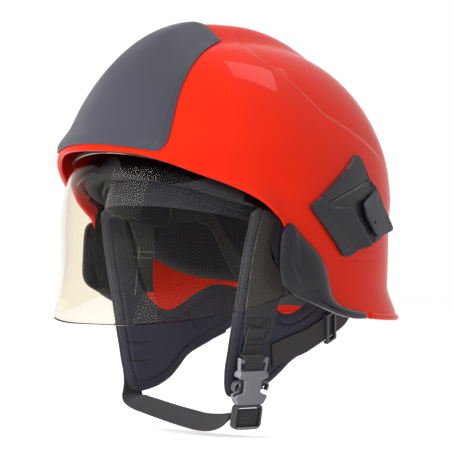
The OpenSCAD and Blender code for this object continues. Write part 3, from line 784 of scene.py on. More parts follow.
# ---------------------------------------------------------------- the dome
@dataclass(frozen=True)
class Dome:
    """Outer form of the shell, as a distance from its centre in every direction.

    With W, F, B the half width and the reach in front and behind at a height, the plan is
    |x/W|^m + |y/L|^m and the side view adds |z/H|^2.5; the distance r at which their sum
    is 1 is found by repeating r <- K(r)^(-1/2.5).
    """

    centre: tuple = (0.0, -7.5, 5.5)
    half_w: float = 118.5
    front: float = 147.5
    rear: float = 156.0
    height: float = 132.5
    skirt: float = 330.0
    wall: float = 3.5
    spine_h: float = 13.0
    spine_w: float = 30.0
    waist: float = 6.0
    neck_flare: float = 11.0
    brow_flare: float = 9.0
    rim_flare: float = 4.0
    rim: tuple = ((0, 45.5), (9, 44.8), (18, 42), (27, 35.5), (36, 27.5), (46, 19.5), (56, 10),
                  (64, -1), (70, -14), (74.5, -38), (80, -63), (91, -80), (102, -86), (114, -89.5),
                  (127, -92), (140, -93.5), (153, -94.2), (166, -94.5), (180, -94.5))

    def half_width(self, z: Array) -> Array:
        """Half width at a height: leans in above, draws in at the neck, flares at its edge."""
        return (self.half_w * (1 - 0.30 * np.maximum(z, 0) / self.height)
                - self.waist / 2 * smooth((45 - z) / 75) + (self.neck_flare - 3) * smooth((-z - 70) / 32))

    def reach(self, y: Array, z: Array) -> Array:
        """Reach in front (with the brow lip) or behind (waist, then flare) at a height.

        Args:
            y: side of the middle, ahead below 0.
            z: the height.

        Returns:
            The reach in millimetres.
        """
        ahead = self.front + self.brow_flare * np.exp(-((z - 40) / 12) ** 2)
        back = self.rear - self.waist * smooth((45 - z) / 75) + self.neck_flare * smooth((-z - 70) / 32)
        return np.where(y < 0, ahead, back)

    def radius(self, d: Array) -> Array:
        """Distance from the centre to the dome in directions d.

        Args:
            d: unit directions.

        Returns:
            The distances.
        """
        m = np.where(d[..., 1] < 0, 1.85, 2.6)
        r = np.full(d.shape[:-1], 140.0)
        for _ in range(9):
            z = r * d[..., 2]
            plan = (np.abs(d[..., 0] / self.half_width(z)) ** m
                    + np.abs(d[..., 1] / self.reach(d[..., 1], z)) ** m) ** (2.5 / m)
            side = (np.abs(d[..., 2]) / np.where(z > 0, self.height, self.skirt)) ** 2.5
            r = (plan + side) ** (-1 / 2.5)
        return r

    def rim_height(self, az: Array) -> Array:
        """Height of the rim at an angle round the head, on the rim's smooth curve."""
        t = curve(self.rim, np.linspace(0, 1, 400))
        return np.interp(az, t[:, 0], t[:, 1])

    def lookup_rim(self, az: Array) -> Array:
        """Height of the rim at an angle round the head."""
        t = np.asarray(self.rim)
        return np.interp(az, t[:, 0], t[:, 1])

    def spine(self, p: Array) -> Array:
        """Height of the centre spine at points of the dome.

        Args:
            p: points of the dome.

        Returns:
            The heights above it.
        """
        w = np.degrees(np.arctan2(p[..., 2] - self.centre[2], self.centre[1] - p[..., 1]))
        foot = self.spine_w + 12 * smooth((70 - w) / 45)
        return (self.spine_h * smooth((w - 18) / 67) * (1 - smooth((w - 95) / 77))
                * (1 - smooth((np.abs(p[..., 0]) - 4) / (foot - 4))))

    def lip(self, d: Array, p: Array) -> Array:
        """Turned-out rim beside the face: fades 14 mm above the rim."""
        az = np.degrees(np.abs(np.arctan2(d[..., 0], -d[..., 1])))
        return (self.rim_flare * smooth((az - 12) / 20) * (1 - smooth((az - 60) / 12))
                * np.exp(-((p[..., 2] - self.lookup_rim(az)) / 14) ** 2))

    def creases(self, d: Array, p: Array) -> Array:
        """Small steps of the moulded surface: the side crease and the line below the bracket.

        Behind the crease the surface drops by 1.4 mm and climbs back over 30 mm; the line is
        a groove 0.9 mm deep at a fixed height.

        Args:
            d: unit directions.
            p: their points.

        Returns:
            What to add to the radius.
        """
        az = np.degrees(np.abs(np.arctan2(d[..., 0], -d[..., 1])))
        el = np.degrees(np.arcsin(np.clip(d[..., 2], -1, 1)))
        line = np.interp(az, [60, 69.6, 84, 97, 104, 108.5, 115.7, 126, 133, 140],
                         [76, 71, 64, 53, 43, 35.6, 31, 23.3, 17.3, 11])
        past = el - line
        drop = 1.4 * smooth(past / 1.6) * np.exp(-np.maximum(past, 0) / 13)
        drop *= smooth((az - 74) / 14) * (1 - smooth((az - 132) / 12))
        z = p[..., 2]
        groove = 0.9 * np.exp(-((z + 42.5 + 0.06 * (az - 105)) / 1.3) ** 2)
        groove *= smooth((az - 97) / 6) * (1 - smooth((az - 124) / 10))
        return -drop - groove

    def skin(self, d: Array, off: float = 0.0, detail: bool = False) -> Array:
        """Points of the shell in directions d, moved out by off.

        Args:
            d: unit directions.
            off: offset outwards.
            detail: True with spine and creases.

        Returns:
            The points.
        """
        r = self.radius(d)
        p = np.asarray(self.centre) + r[..., None] * d
        r = r + self.spine(p) + self.lip(d, p) + off
        if detail:
            r = r + self.creases(d, p)
        return np.asarray(self.centre) + r[..., None] * d

    def side_x(self, y: Array, z: Array) -> Array:
        """Distance of the side from the middle plane at a place y, z.

        Args:
            y: the place.
            z: its height.

        Returns:
            The distance.
        """
        q, h = y - self.centre[1], z - self.centre[2]
        m = np.where(q < 0, 1.85, 2.6)
        c = (1 - (np.abs(h) / np.where(h > 0, self.height, self.skirt)) ** 2.5) ** (m / 2.5)
        inside = np.maximum(c - (np.abs(q) / self.reach(q, h)) ** m, 1e-6)
        return self.half_width(h) * inside ** (1 / m)

    def rim_elevation(self, az: Array, z: Array, off: float = 0.0) -> Array:
        """Elevation at which the shell passes a height z, by repeating the direction.

        Args:
            az: the angle round the helmet.
            z: the height.
            off: offset outwards.

        Returns:
            The elevation.
        """
        el = np.zeros_like(az)
        for _ in range(8):
            p = self.skin(aim(az, el), off) - np.asarray(self.centre)
            el = np.degrees(np.arctan2(z - self.centre[2], np.hypot(p[..., 0], p[..., 1])))
        return el


DOME = Dome()
HINGE = np.array([0.0, -5.0, -20.0])
SEAT = 0.3
# Pieces that stitches are sewn to.
CARRIERS: list[Object] = []


def bowl(name: str, outer: Array, inner: Array, edge_steps: int = 5) -> Object:
    """Closed wall between two bowls, its rim rounded by a half circle from face to face.

    Args:
        name: the object's name.
        outer: rows x columns x 3, row 0 all at the crown, columns going round.
        inner: the same for the inside.
        edge_steps: points on the half circle.

    Returns:
        The object.
    """
    down = unit(outer[-1] - outer[-2])
    mid, half = (outer[-1] + inner[-1]) / 2, (outer[-1] - inner[-1]) / 2
    a = np.linspace(0, np.pi, edge_steps + 2)[1:-1, None, None]
    size = np.linalg.norm(half, axis=-1, keepdims=True)
    lip = mid + half * np.cos(a) + down * size * np.sin(a) * 0.9
    rows = np.concatenate([outer[1:], lip, inner[:0:-1]])
    n, m = rows.shape[:2]
    pts = np.concatenate([rows.reshape(-1, 3), outer[:1, 0], inner[:1, 0]])
    j = np.arange(m)
    k = (j + 1) % m
    fans = [np.stack([np.full(m, n * m), j, k], -1),
            np.stack([np.full(m, n * m + 1), (n - 1) * m + k, (n - 1) * m + j], -1)]
    uv = np.stack([np.tile(np.arange(m) * 2.0, n), np.repeat(np.arange(n) * 2.0, m)], -1)
    return make_mesh(name, pts, [quads(n, m, wrap=True), *fans], np.concatenate([uv, uv[:1], uv[-1:]]))


def place(piece: Object, body: str, finish: Finish, slot: str, *nodes: str) -> Object:
    """Finishes a piece: its material, its body and the CAD nodes it stands for.

    Args:
        piece: the object.
        body: its body.
        finish: its finish.
        slot: not used.
        nodes: the CAD nodes.

    Returns:
        The piece.
    """
    dress(piece, finish)
    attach(piece, body)
    if nodes:
        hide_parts(*nodes)
    log.info("piece %s rides on %s", piece.name, body)
    return piece


def both(piece: Object, body: str, finish: Finish, slot: str,
         node: str = "") -> list[Object]:
    """Places a left piece and its mirrored copy; their names and nodes end in _left, _right.

    Args:
        piece: the left piece.
        body: its body.
        finish: its finish.
        slot: its slot.
        node: the nodes' name before the side.

    Returns:
        The two pieces.
    """
    stem = piece.name.removesuffix(".001").removesuffix("_left")
    twin = mirrored(piece, stem + "_right")
    return [place(obj, body, finish, slot, *([f"{node}_{side}"] if node else []))
            for obj, side in ((piece, "left"), (twin, "right"))]


def patch(inner: tuple, outer: tuple, u: Array, v: Array) -> Array:
    """Points [y, z] between an inner (v = 0) and an outer (v = 1) edge line."""
    return (1 - v[..., None]) * curve(inner, u) + v[..., None] * curve(outer, u)


def lattice(rows: int, cols: int) -> tuple[Array, Array]:
    """Grids of u along the columns and v down the rows, each from 0 to 1."""
    v, u = np.meshgrid(np.linspace(0, 1, rows), np.linspace(0, 1, cols), indexing="ij")
    return u, v


# ---------------------------------------------------------------- shell
@dataclass
class Shell:
    """The moulded shell with its front plate."""

    columns: int = 170
    rows: int = 150
    plate_t: float = 2.6
    plate_top: float = 79.5
    plate_bottom: float = 16.0
    plate_foot: float = 0.46
    plate_head: float = 0.19
    plate_corner: float = 5.0
    plate_rim: float = 0.9
    hem_r: float = 2.3

    def ring(self) -> Array:
        """Angle and height of the rim, all round: the left half, then its mirror image.

        Returns:
            Rows of angle and height.
        """
        half = curve(DOME.rim, np.linspace(0, 1, self.columns + 1))
        back = half[-2:0:-1] * [-1, 1]
        return np.concatenate([half, back])

    def wall(self) -> Object:
        """The shell: rows from the crown to the rim, 3.5 mm between the two faces.

        Returns:
            The piece.
        """
        ring = self.ring()
        el = DOME.rim_elevation(ring[:, 0], ring[:, 1])
        share = np.linspace(0, 1, self.rows + 1)[:, None]
        outer = DOME.skin(aim(ring[None, :, 0] + 0 * share, 90 - (90 - el[None]) * share), detail=True)
        share = share[::3]
        inner = DOME.skin(aim(ring[None, :, 0] + 0 * share, 90 - (90 - el[None]) * share), -DOME.wall)
        return bowl("shell", outer, inner)

    def slope(self, w: Array) -> Array:
        """Half width of the plate as a slope; over the last degrees its corners are rounded.

        Args:
            w: angle along the plate.

        Returns:
            The slope.
        """
        wide = self.plate_foot - (self.plate_foot - self.plate_head) * (np.maximum(0, (w - 20) / 60)) ** 1.25
        u = np.clip((w - self.plate_bottom) / self.plate_corner, 0, 1)
        return wide * (1 - 0.14 * (1 - np.sqrt(1 - (1 - u) ** 2)))

    def plate(self) -> Object:
        """The plate over the spine: the shell moved out, its edge raised to a thin border.

        Returns:
            The piece.
        """
        w = np.radians(1)
        turn = np.concatenate([self.plate_bottom + self.plate_corner * np.linspace(0, 1, 9)[:-1] ** 1.5,
                               np.linspace(self.plate_bottom + self.plate_corner, self.plate_top, 70)])[::-1]
        s, t = np.meshgrid(np.linspace(-1, 1, 61), turn)
        d = unit(xyz(s * self.slope(t), -np.cos(t * w), np.sin(t * w)))
        low = DOME.skin(d, 1.5 * SEAT)
        thick = self.plate_rim + (self.plate_t - self.plate_rim) * smooth(8 * (1 - np.abs(s))) * smooth(
            1.6 * (t - self.plate_bottom) / self.plate_corner) * smooth((self.plate_top - t) / 3)
        groove = 0.35 * np.exp(-((1 - np.abs(s) - 0.15) / 0.03) ** 2)
        c = DOME.centre + (low - DOME.centre) * (1 + (thick - groove)[..., None]
                                                 / np.linalg.norm(low - DOME.centre, axis=-1, keepdims=True))
        return slab("front_plate", c, low, edge=0.5, sharp=40)

    def hem(self, name: str, start: float, stop: float, r: float) -> Object:
        """Rolled edge of the shell between two angles: a bead along the middle of its wall.

        Args:
            name: the object's name.
            start: first angle from the front, degrees.
            stop: last angle.
            r: radius of the bead, which fades over the last degrees at both ends.

        Returns:
            The object.
        """
        az = np.linspace(start, stop, 220)
        z = DOME.rim_height(np.where(az > 180, 360 - az, np.abs(az)))
        d = aim(az, DOME.rim_elevation(az, z))
        path = DOME.skin(d, -DOME.wall / 2 + 0.55)
        path[:, 2] += 0.6
        return sweep(name, path, ring_section(r, 16, 0.92), across=d)

    def build(self) -> None:
        """Makes and dresses the shell and the plate."""
        shell = place(self.wall(), "helmet", RED, "shell_red", "outer_shell")
        plate = place(self.plate(), "helmet", PLATE, "plate_grey", "front_plate")
        place(self.hem("brow_hem", -67, 67, self.hem_r), "helmet", RED, "shell_red")
        place(self.hem("neck_hem", 116, 244, self.hem_r + 0.5), "helmet", RED, "shell_red")
        CARRIERS.extend([shell, plate])


@dataclass
class SideFittings:
    """Black side covers, grey lamp brackets, spring clips and the lining beside the ears."""

    cover_front: tuple = ((-47, -13), (-53, -19), (-55.5, -35), (-56, -52), (-53, -62), (-45, -68.5),
                          (-29, -75), (-12, -81.5), (5, -87), (22, -90), (38, -90.5))
    cover_back: tuple = ((-44.5, -13), (-38, -19), (-30, -26), (-17, -36), (-9, -46), (-4.5, -59),
                         (-1, -71), (5, -78), (16, -81.5), (27, -84), (38, -85.5))
    upper: tuple = ((-25, 1), (-8, 11.5), (13, 24), (30, 34), (45, 42), (55, 22), (69, 7))
    lower: tuple = ((-23, -3), (-10, -15), (4, -28), (18, -40), (41, -33), (64, -27), (84, -17))
    ramp_foot: tuple = ((-6.5, -3), (31.8, -34.5))
    ramp_ridge: tuple = ((15.9, -1), (43.7, -28.9))
    ramp_end: tuple = ((-1.8, -2.3), (15.9, -1))
    fold: tuple = ((-6.2, 3.6), (52, 21.9))
    clip_line: tuple = ((-26, 11), (-5.5, 21.5), (-2, 19), (25.5, -8.5), (25, -11), (20, -12.5),
                        (-1, -17), (-8, -12), (-21, -0.5))
    lock_at: tuple = (-8.7, -4.5)
    clip_mid: tuple = (115.11, 60.0, -8.0)
    clip_turn: float = 13.484
    clip_t: float = 2.5
    lock_r: float = 1.6
    lining_back: tuple = ((-20, 12), (-12, -15), (-4, -40), (2, -60), (8, -78))
    lining_front: tuple = ((-33, 8), (-48, -10), (-51, -30), (-50, -50), (-41, -68))

    def cover(self) -> Object:
        """Side cover: a patch that swells between its edges and draws to a point at both ends.

        Returns:
            The piece.
        """
        u, v = lattice(41, 181)
        p = patch(self.cover_back, self.cover_front, u, v)
        y, z = p[..., 0], p[..., 1]
        x = np.maximum(DOME.side_x(y, z), 111.5) + SEAT + 1.3 * smooth((-z - 42) / 18)
        swell = np.maximum(0, 4 * v * (1 - v)) ** 0.6 * np.maximum(np.sin(np.pi * u ** 0.6), 0) ** 0.5
        crease = 0.9 * np.exp(-((v - 0.74 + 0.1 * u) / 0.035) ** 2)
        crease *= smooth((u - 0.08) / 0.1) * smooth((0.9 - u) / 0.2)
        out = xyz(x + 2.4 + 5 * swell - crease, y, z)
        return slab("side_cover_left", out, xyz(x, y, z), edge=0.9, sharp=30)

    def beside(self, p: Array, line: tuple) -> Array:
        """Distance of places [y, z] from a line, positive to the left of its direction.

        Args:
            p: the places.
            line: its two ends.

        Returns:
            The distance.
        """
        a, b = np.asarray(line, float)
        d = unit(b - a)
        return d[0] * (p[..., 1] - a[1]) - d[1] * (p[..., 0] - a[0])

    def bracket(self) -> Object:
        """Lamp bracket: a thin plate with a ramp, a fold line and a rise under the clip.

        The ramp leaves a sunk line at its foot and climbs with the 1.5th power of the way
        to its ridge, behind which it falls over 6 mm; all edges are rounded.

        Returns:
            The piece.
        """
        u, v = lattice(141, 261)
        p = patch(self.upper, self.lower, u, v)
        y, z = p[..., 0], p[..., 1]
        x = DOME.side_x(y, z) + SEAT
        foot, past = self.beside(p, self.ramp_foot), self.beside(p, self.ramp_ridge)
        end_line, fold = self.beside(p, self.ramp_end), self.beside(p, self.fold)
        climb = np.where(foot <= 0, 0, np.clip(foot / np.maximum(foot - past, 0.1), 0, 1) ** 1.5)
        ramp = np.where(past < 0, climb, 1 - smooth(past / 6))
        below = 1 - smooth(end_line / 2.2)
        sunk = 1.9 * smooth(foot + 0.5) * (1 - smooth((foot - 1.5) / 5)) * (1 - smooth(end_line))
        h = 3.0 + 6.0 * ramp * below - sunk + 2.6 * smooth((y - 50) / 12)
        h -= 1.3 * np.exp(-(fold / 0.8) ** 2) * smooth((y + 10) / 6)
        h += 0.8 * smooth(fold / 10)
        lean = math.tan(math.radians(self.clip_turn))
        under = self.clip_mid[0] - lean * (y - self.clip_mid[1]) - SEAT
        top = np.where(past > 8, np.minimum(x + h, under), x + h)
        return slab("lamp_bracket_left", xyz(np.maximum(top, x + 1.0), y, z),
                    xyz(x, y, z), edge=0.6, sharp=30)

    def clip(self) -> Object:
        """Spring clip: a rounded outline given thickness, with the round lock hole through it.

        Returns:
            The piece.
        """
        corners = np.asarray(self.clip_line, float)
        n = len(corners)
        share = np.linspace(0, 1, 14)[1:-1, None]
        runs = [corners[k] + share * (corners[(k + 1) % n] - corners[k]) for k in range(n)]
        line = np.concatenate(runs)
        for _ in range(3):
            line = (np.roll(line, 1, 0) + 2 * line + np.roll(line, -1, 0)) / 4
        a = np.arctan2(line[:, 1] - self.lock_at[1], line[:, 0] - self.lock_at[0])
        hole = np.asarray(self.lock_at) + self.lock_r * np.stack([np.cos(a), np.sin(a)], -1)
        share = np.linspace(0, 1, 7)[:, None, None]
        flat = line[None] * (1 - share) + hole[None] * share
        groove = 0.7 * np.exp(-((share[..., 0] - 0.22) / 0.07) ** 2)
        m = len(line)
        c, s = math.cos(math.radians(self.clip_turn)), math.sin(math.radians(self.clip_turn))
        front = xyz(self.clip_t - groove + 0 * flat[..., 0], flat[..., 0], flat[..., 1])
        back = xyz(0 * flat[..., 0], flat[..., 0], flat[..., 1])
        rows = np.concatenate([front, back[::-1]])
        pts = np.asarray(self.clip_mid) + xyz(rows[..., 0] * c - rows[..., 1] * s,
                                                    rows[..., 0] * s + rows[..., 1] * c, rows[..., 2])
        obj = make_mesh("lamp_clip_left", pts.reshape(-1, 3),
                        [quads(14, m, wrap=True), np.stack([13 * m + np.arange(m), np.arange(m),
                         (np.arange(m) + 1) % m, 13 * m + (np.arange(m) + 1) % m], -1)])
        turn_out(obj)
        round_edges(obj, 0.5, 40)
        return obj

    def ear_lining(self) -> Object:
        """Black felt inside the shell beside the ear, 0.35 mm off its inner face.

        Returns:
            The piece.
        """
        u, v = lattice(16, 61)
        p = patch(self.lining_back, self.lining_front, u, v)
        x = DOME.side_x(p[..., 0], p[..., 1]) - DOME.wall - 0.35
        return slab("ear_lining_left", xyz(x, p[..., 0], p[..., 1]),
                    xyz(x - 0.7, p[..., 0], p[..., 1]), edge=0.25)

    def build(self) -> None:
        """Makes both sides of each fitting."""
        CARRIERS.append(both(self.cover(), "helmet", COVER, "cover_black", "side_cover")[0])
        CARRIERS.append(both(self.bracket(), "helmet", BRACKET, "bracket_grey", "lamp_bracket")[0])
        both(self.clip(), "helmet", CLIP, "bracket_grey", "lamp_clip")
        both(self.ear_lining(), "helmet", FOAM, "liner_foam")


def turn_out(obj: Object) -> None:
    """Turns a closed mesh's faces outwards when its signed volume is negative.

    Args:
        obj: the piece.
    """
    mesh = obj.data
    mesh.calc_loop_triangles()
    tri = np.empty(len(mesh.loop_triangles) * 3, np.int32)
    mesh.loop_triangles.foreach_get("vertices", tri)
    a, b, c = np.moveaxis(vertices(mesh)[tri.reshape(-1, 3)], 1, 0)
    if (a * np.cross(b, c)).sum() < 0:
        mesh.flip_normals()


# ---------------------------------------------------------------- visors
def wrap(side: Array, w: Array, half_w: float, r: Array, m: float) -> Array:
    """Surface of turning about the hinge line.

    x = half_w * |sin side|^(2/m) with the sign of side; the radius about the hinge is
    r * cos(side)^(2/m) at the angle w above level.

    Args:
        side: angle to the side.
        w: angle above level.
        half_w: half width.
        r: radius ahead.
        m: roundness.

    Returns:
        The points.
    """
    a = np.radians(side)
    c = r * np.maximum(np.cos(a), 1e-9) ** (2 / m)
    w = np.radians(w)
    return xyz(half_w * power(np.sin(a), 2 / m),
                     HINGE[1] - c * np.cos(w), HINGE[2] + c * np.sin(w))


@dataclass
class FaceVisor:
    """Clear face visor with its grip flare, its arms, the grey seal, hubs and pins."""

    half_w: float = 109.0
    r: float = 149.0
    t: float = 2.0
    flare: float = 11.0
    side_flare: float = 44.0
    side: float = 69.0
    top: float = 25.0
    low: float = -27.2
    low_side: float = 34.3
    hub_r: float = 16.0
    seal_up: tuple = (0.0, -0.42, 0.91)

    def end_angle(self, side: Array) -> Array:
        """Lower edge of the visor at a side angle, above level."""
        return self.low - self.low_side * np.minimum(1, np.abs(side) / self.side) ** 5.1

    def points(self, side: Array, k: Array, off: float) -> Array:
        """Points of the visor: k runs from the top edge to the lower edge.

        Args:
            side: angle to the side.
            k: 0 at the top, 1 below.
            off: offset outwards.

        Returns:
            The points.
        """
        arm = np.abs(side) > self.side + 0.5
        lo = np.where(arm, -24.0, self.end_angle(side))
        hi = np.where(arm, 12.0, self.top)
        w = hi + (lo - hi) * k
        flare = self.flare + (self.side_flare - self.flare) * smooth(np.abs(side) / 60)
        reach = self.r + flare * np.clip(w / self.end_angle(side), 0, 1) ** 2.77 * (
            1 - smooth((np.abs(side) - 40) / 38))
        return wrap(side, w, self.half_w + off, reach + off, 2.0)

    def sides(self) -> Array:
        """Side angles of the columns, closer at the step to the arms.

        Returns:
            The angles.
        """
        stop = np.degrees(np.arccos((self.hub_r + SEAT) / self.r))
        half = np.concatenate([np.linspace(0, self.side, 70), self.side + np.array([0.25, 0.5, 0.51, 0.8]),
                               np.linspace(self.side + 1.5, stop, 9)])
        return np.concatenate([-half[:0:-1], half])

    def lens(self) -> Object:
        """The sheet: two faces 2 mm apart with rounded edges.

        Returns:
            The piece.
        """
        k = np.linspace(0, 1, 60)[:, None]
        s = self.sides()[None]
        return slab("face_visor", self.points(s + 0 * k, k + 0 * s, 0.0),
                    self.points(s + 0 * k, k + 0 * s, -self.t), edge=0.7, sharp=40)

    def seal(self) -> Object:
        """Grey lip on the top edge: a strip with a small bead along its upper side.

        Returns:
            The piece.
        """
        line = wrap(np.linspace(-0.9, 0.9, 121) * self.side, self.top + 0.125 + 0.66, self.half_w - 1.0,
                    self.r - 1.0, 2.0)
        a = np.linspace(0, 2 * np.pi, 20, endpoint=False)
        oval = np.stack([1.75 * power(np.cos(a), 0.5), 1.2 * power(np.sin(a), 0.5)], -1)
        return sweep("visor_seal", line, oval, across=np.array(self.seal_up))

    def build(self) -> None:
        """Makes the visor group; the hubs and pins are the exact CAD parts with a finish."""
        lens = place(self.lens(), "visor", VISOR, "visor_clear", "face_visor")
        lens.visible_shadow = False
        place(self.seal(), "visor", SEAL, "seal_grey", "visor_seal")


@dataclass
class EyeShield:
    """Smoked eye shield with two lobes and a nose notch, parked inside the visor."""

    half_w: float = 101.0
    r: float = 138.0
    t: float = 2.0
    side: float = 60.0
    top: float = 38.0
    m: float = 2.15
    hub_r: float = 12.0
    arm_low: float = 20.0
    arm_top: float = 34.0

    def end_angle(self, side: Array) -> Array:
        """Lower edge: the notch, then the lobe, then a rise towards the temples.

        Args:
            side: angle to the side.

        Returns:
            The angle.
        """
        a = np.abs(side)
        lobe = 20 - 1.5 * np.sin(np.pi * np.clip((a - 9) / 40, 0, 1)) + 10 * smooth((a - 30) / 26)
        return np.where(a < 9, 26 - 6 * smooth((a - 1) / 8), lobe)

    def lens(self) -> Object:
        """The sheet, with arms that come down to the inner hubs.

        Returns:
            The piece.
        """
        stop = np.degrees(np.arccos(((self.hub_r + SEAT) / self.r) ** (self.m / 2)))
        step = self.side + np.array([0.5, 0.51, 0.9])
        half = np.concatenate([np.linspace(0, 12, 25)[:-1], np.linspace(12, self.side, 50), step,
                               np.linspace(self.side + 1.5, stop, 12)])
        s = np.concatenate([-half[:0:-1], half])[None]
        k = np.linspace(0, 1, 34)[:, None]
        arm = np.abs(s) > self.side + 0.5
        lo = np.where(arm, self.arm_low, self.end_angle(s))
        hi = np.where(arm, self.arm_top, self.top)
        w = hi + (lo - hi) * k
        outer = wrap(s + 0 * k, w, self.half_w, self.r + 0 * w, self.m)
        inner = wrap(s + 0 * k, w, self.half_w - self.t, self.r - self.t + 0 * w, self.m)
        return slab("eye_shield", outer, inner, edge=0.7, sharp=40)

    def build(self) -> None:
        """Makes the shield."""
        lens = place(self.lens(), "eye_shield", SMOKE, "shield_smoke", "eye_shield")
        lens.visible_shadow = False


# ---------------------------------------------------------------- liner and headband
@dataclass(frozen=True)
class LinerForm:
    """Form of the liner: clear of the visors in front, against the shell behind.

    In front |x/W|^m + (q/R)^m = 1, q being the distance from the hinge line; behind it is the
    dome less its wall; the two are blended over 45 mm.
    """

    half_w: float = 95.6
    r: float = 131.5
    m: float = 2.15
    t: float = 16.0
    rim: tuple = ((0, 30), (14, 29), (30, 23), (45, 14), (58, 8.2), (68, 8), (78, 8), (86, -12),
                  (95, -34), (107, -45), (120, -53), (135, -59), (150, -63), (165, -65.5), (180, -66))

    def points(self, d: Array, off: Array | float = 0.0) -> Array:
        """Points of the liner's outside in directions d, moved out by off.

        Args:
            d: unit directions.
            off: offset outwards.

        Returns:
            The points.
        """
        c = np.asarray(DOME.centre)
        r = np.full(d.shape[:-1], 120.0)
        for _ in range(8):
            p = c + r[..., None] * d
            q = np.hypot(p[..., 1] - HINGE[1], p[..., 2] - HINGE[2])
            r = r / ((np.abs(p[..., 0]) / self.half_w) ** self.m + (q / self.r) ** self.m) ** (1 / self.m)
        t = smooth((c[1] + 130 * d[..., 1] - 25) / 45)
        r = (1 - t) * r + t * (DOME.radius(d) - DOME.wall - 3 * SEAT)
        return c + (r + off)[..., None] * d

    def elevation(self, az: Array, z: Array, off: Array | float = 0.0) -> Array:
        """Elevation at which the liner, moved by off, passes a height.

        Args:
            az: the angle round the helmet.
            z: the height.
            off: offset outwards.

        Returns:
            The elevation.
        """
        el = np.zeros(np.broadcast_shapes(np.shape(az), np.shape(z)))
        az = az + 0 * el
        for _ in range(7):
            p = self.points(aim(az, el), off) - np.asarray(DOME.centre)
            el = np.degrees(np.arctan2(z - DOME.centre[2], np.hypot(p[..., 0], p[..., 1])))
        return el

    def at(self, az: Array, z: Array, off: Array | float = 0.0) -> Array:
        """Point of the liner, moved by off, at an angle round the head and a height."""
        return self.points(aim(az + 0 * z, self.elevation(az, z, off)), off)


LINER = LinerForm()


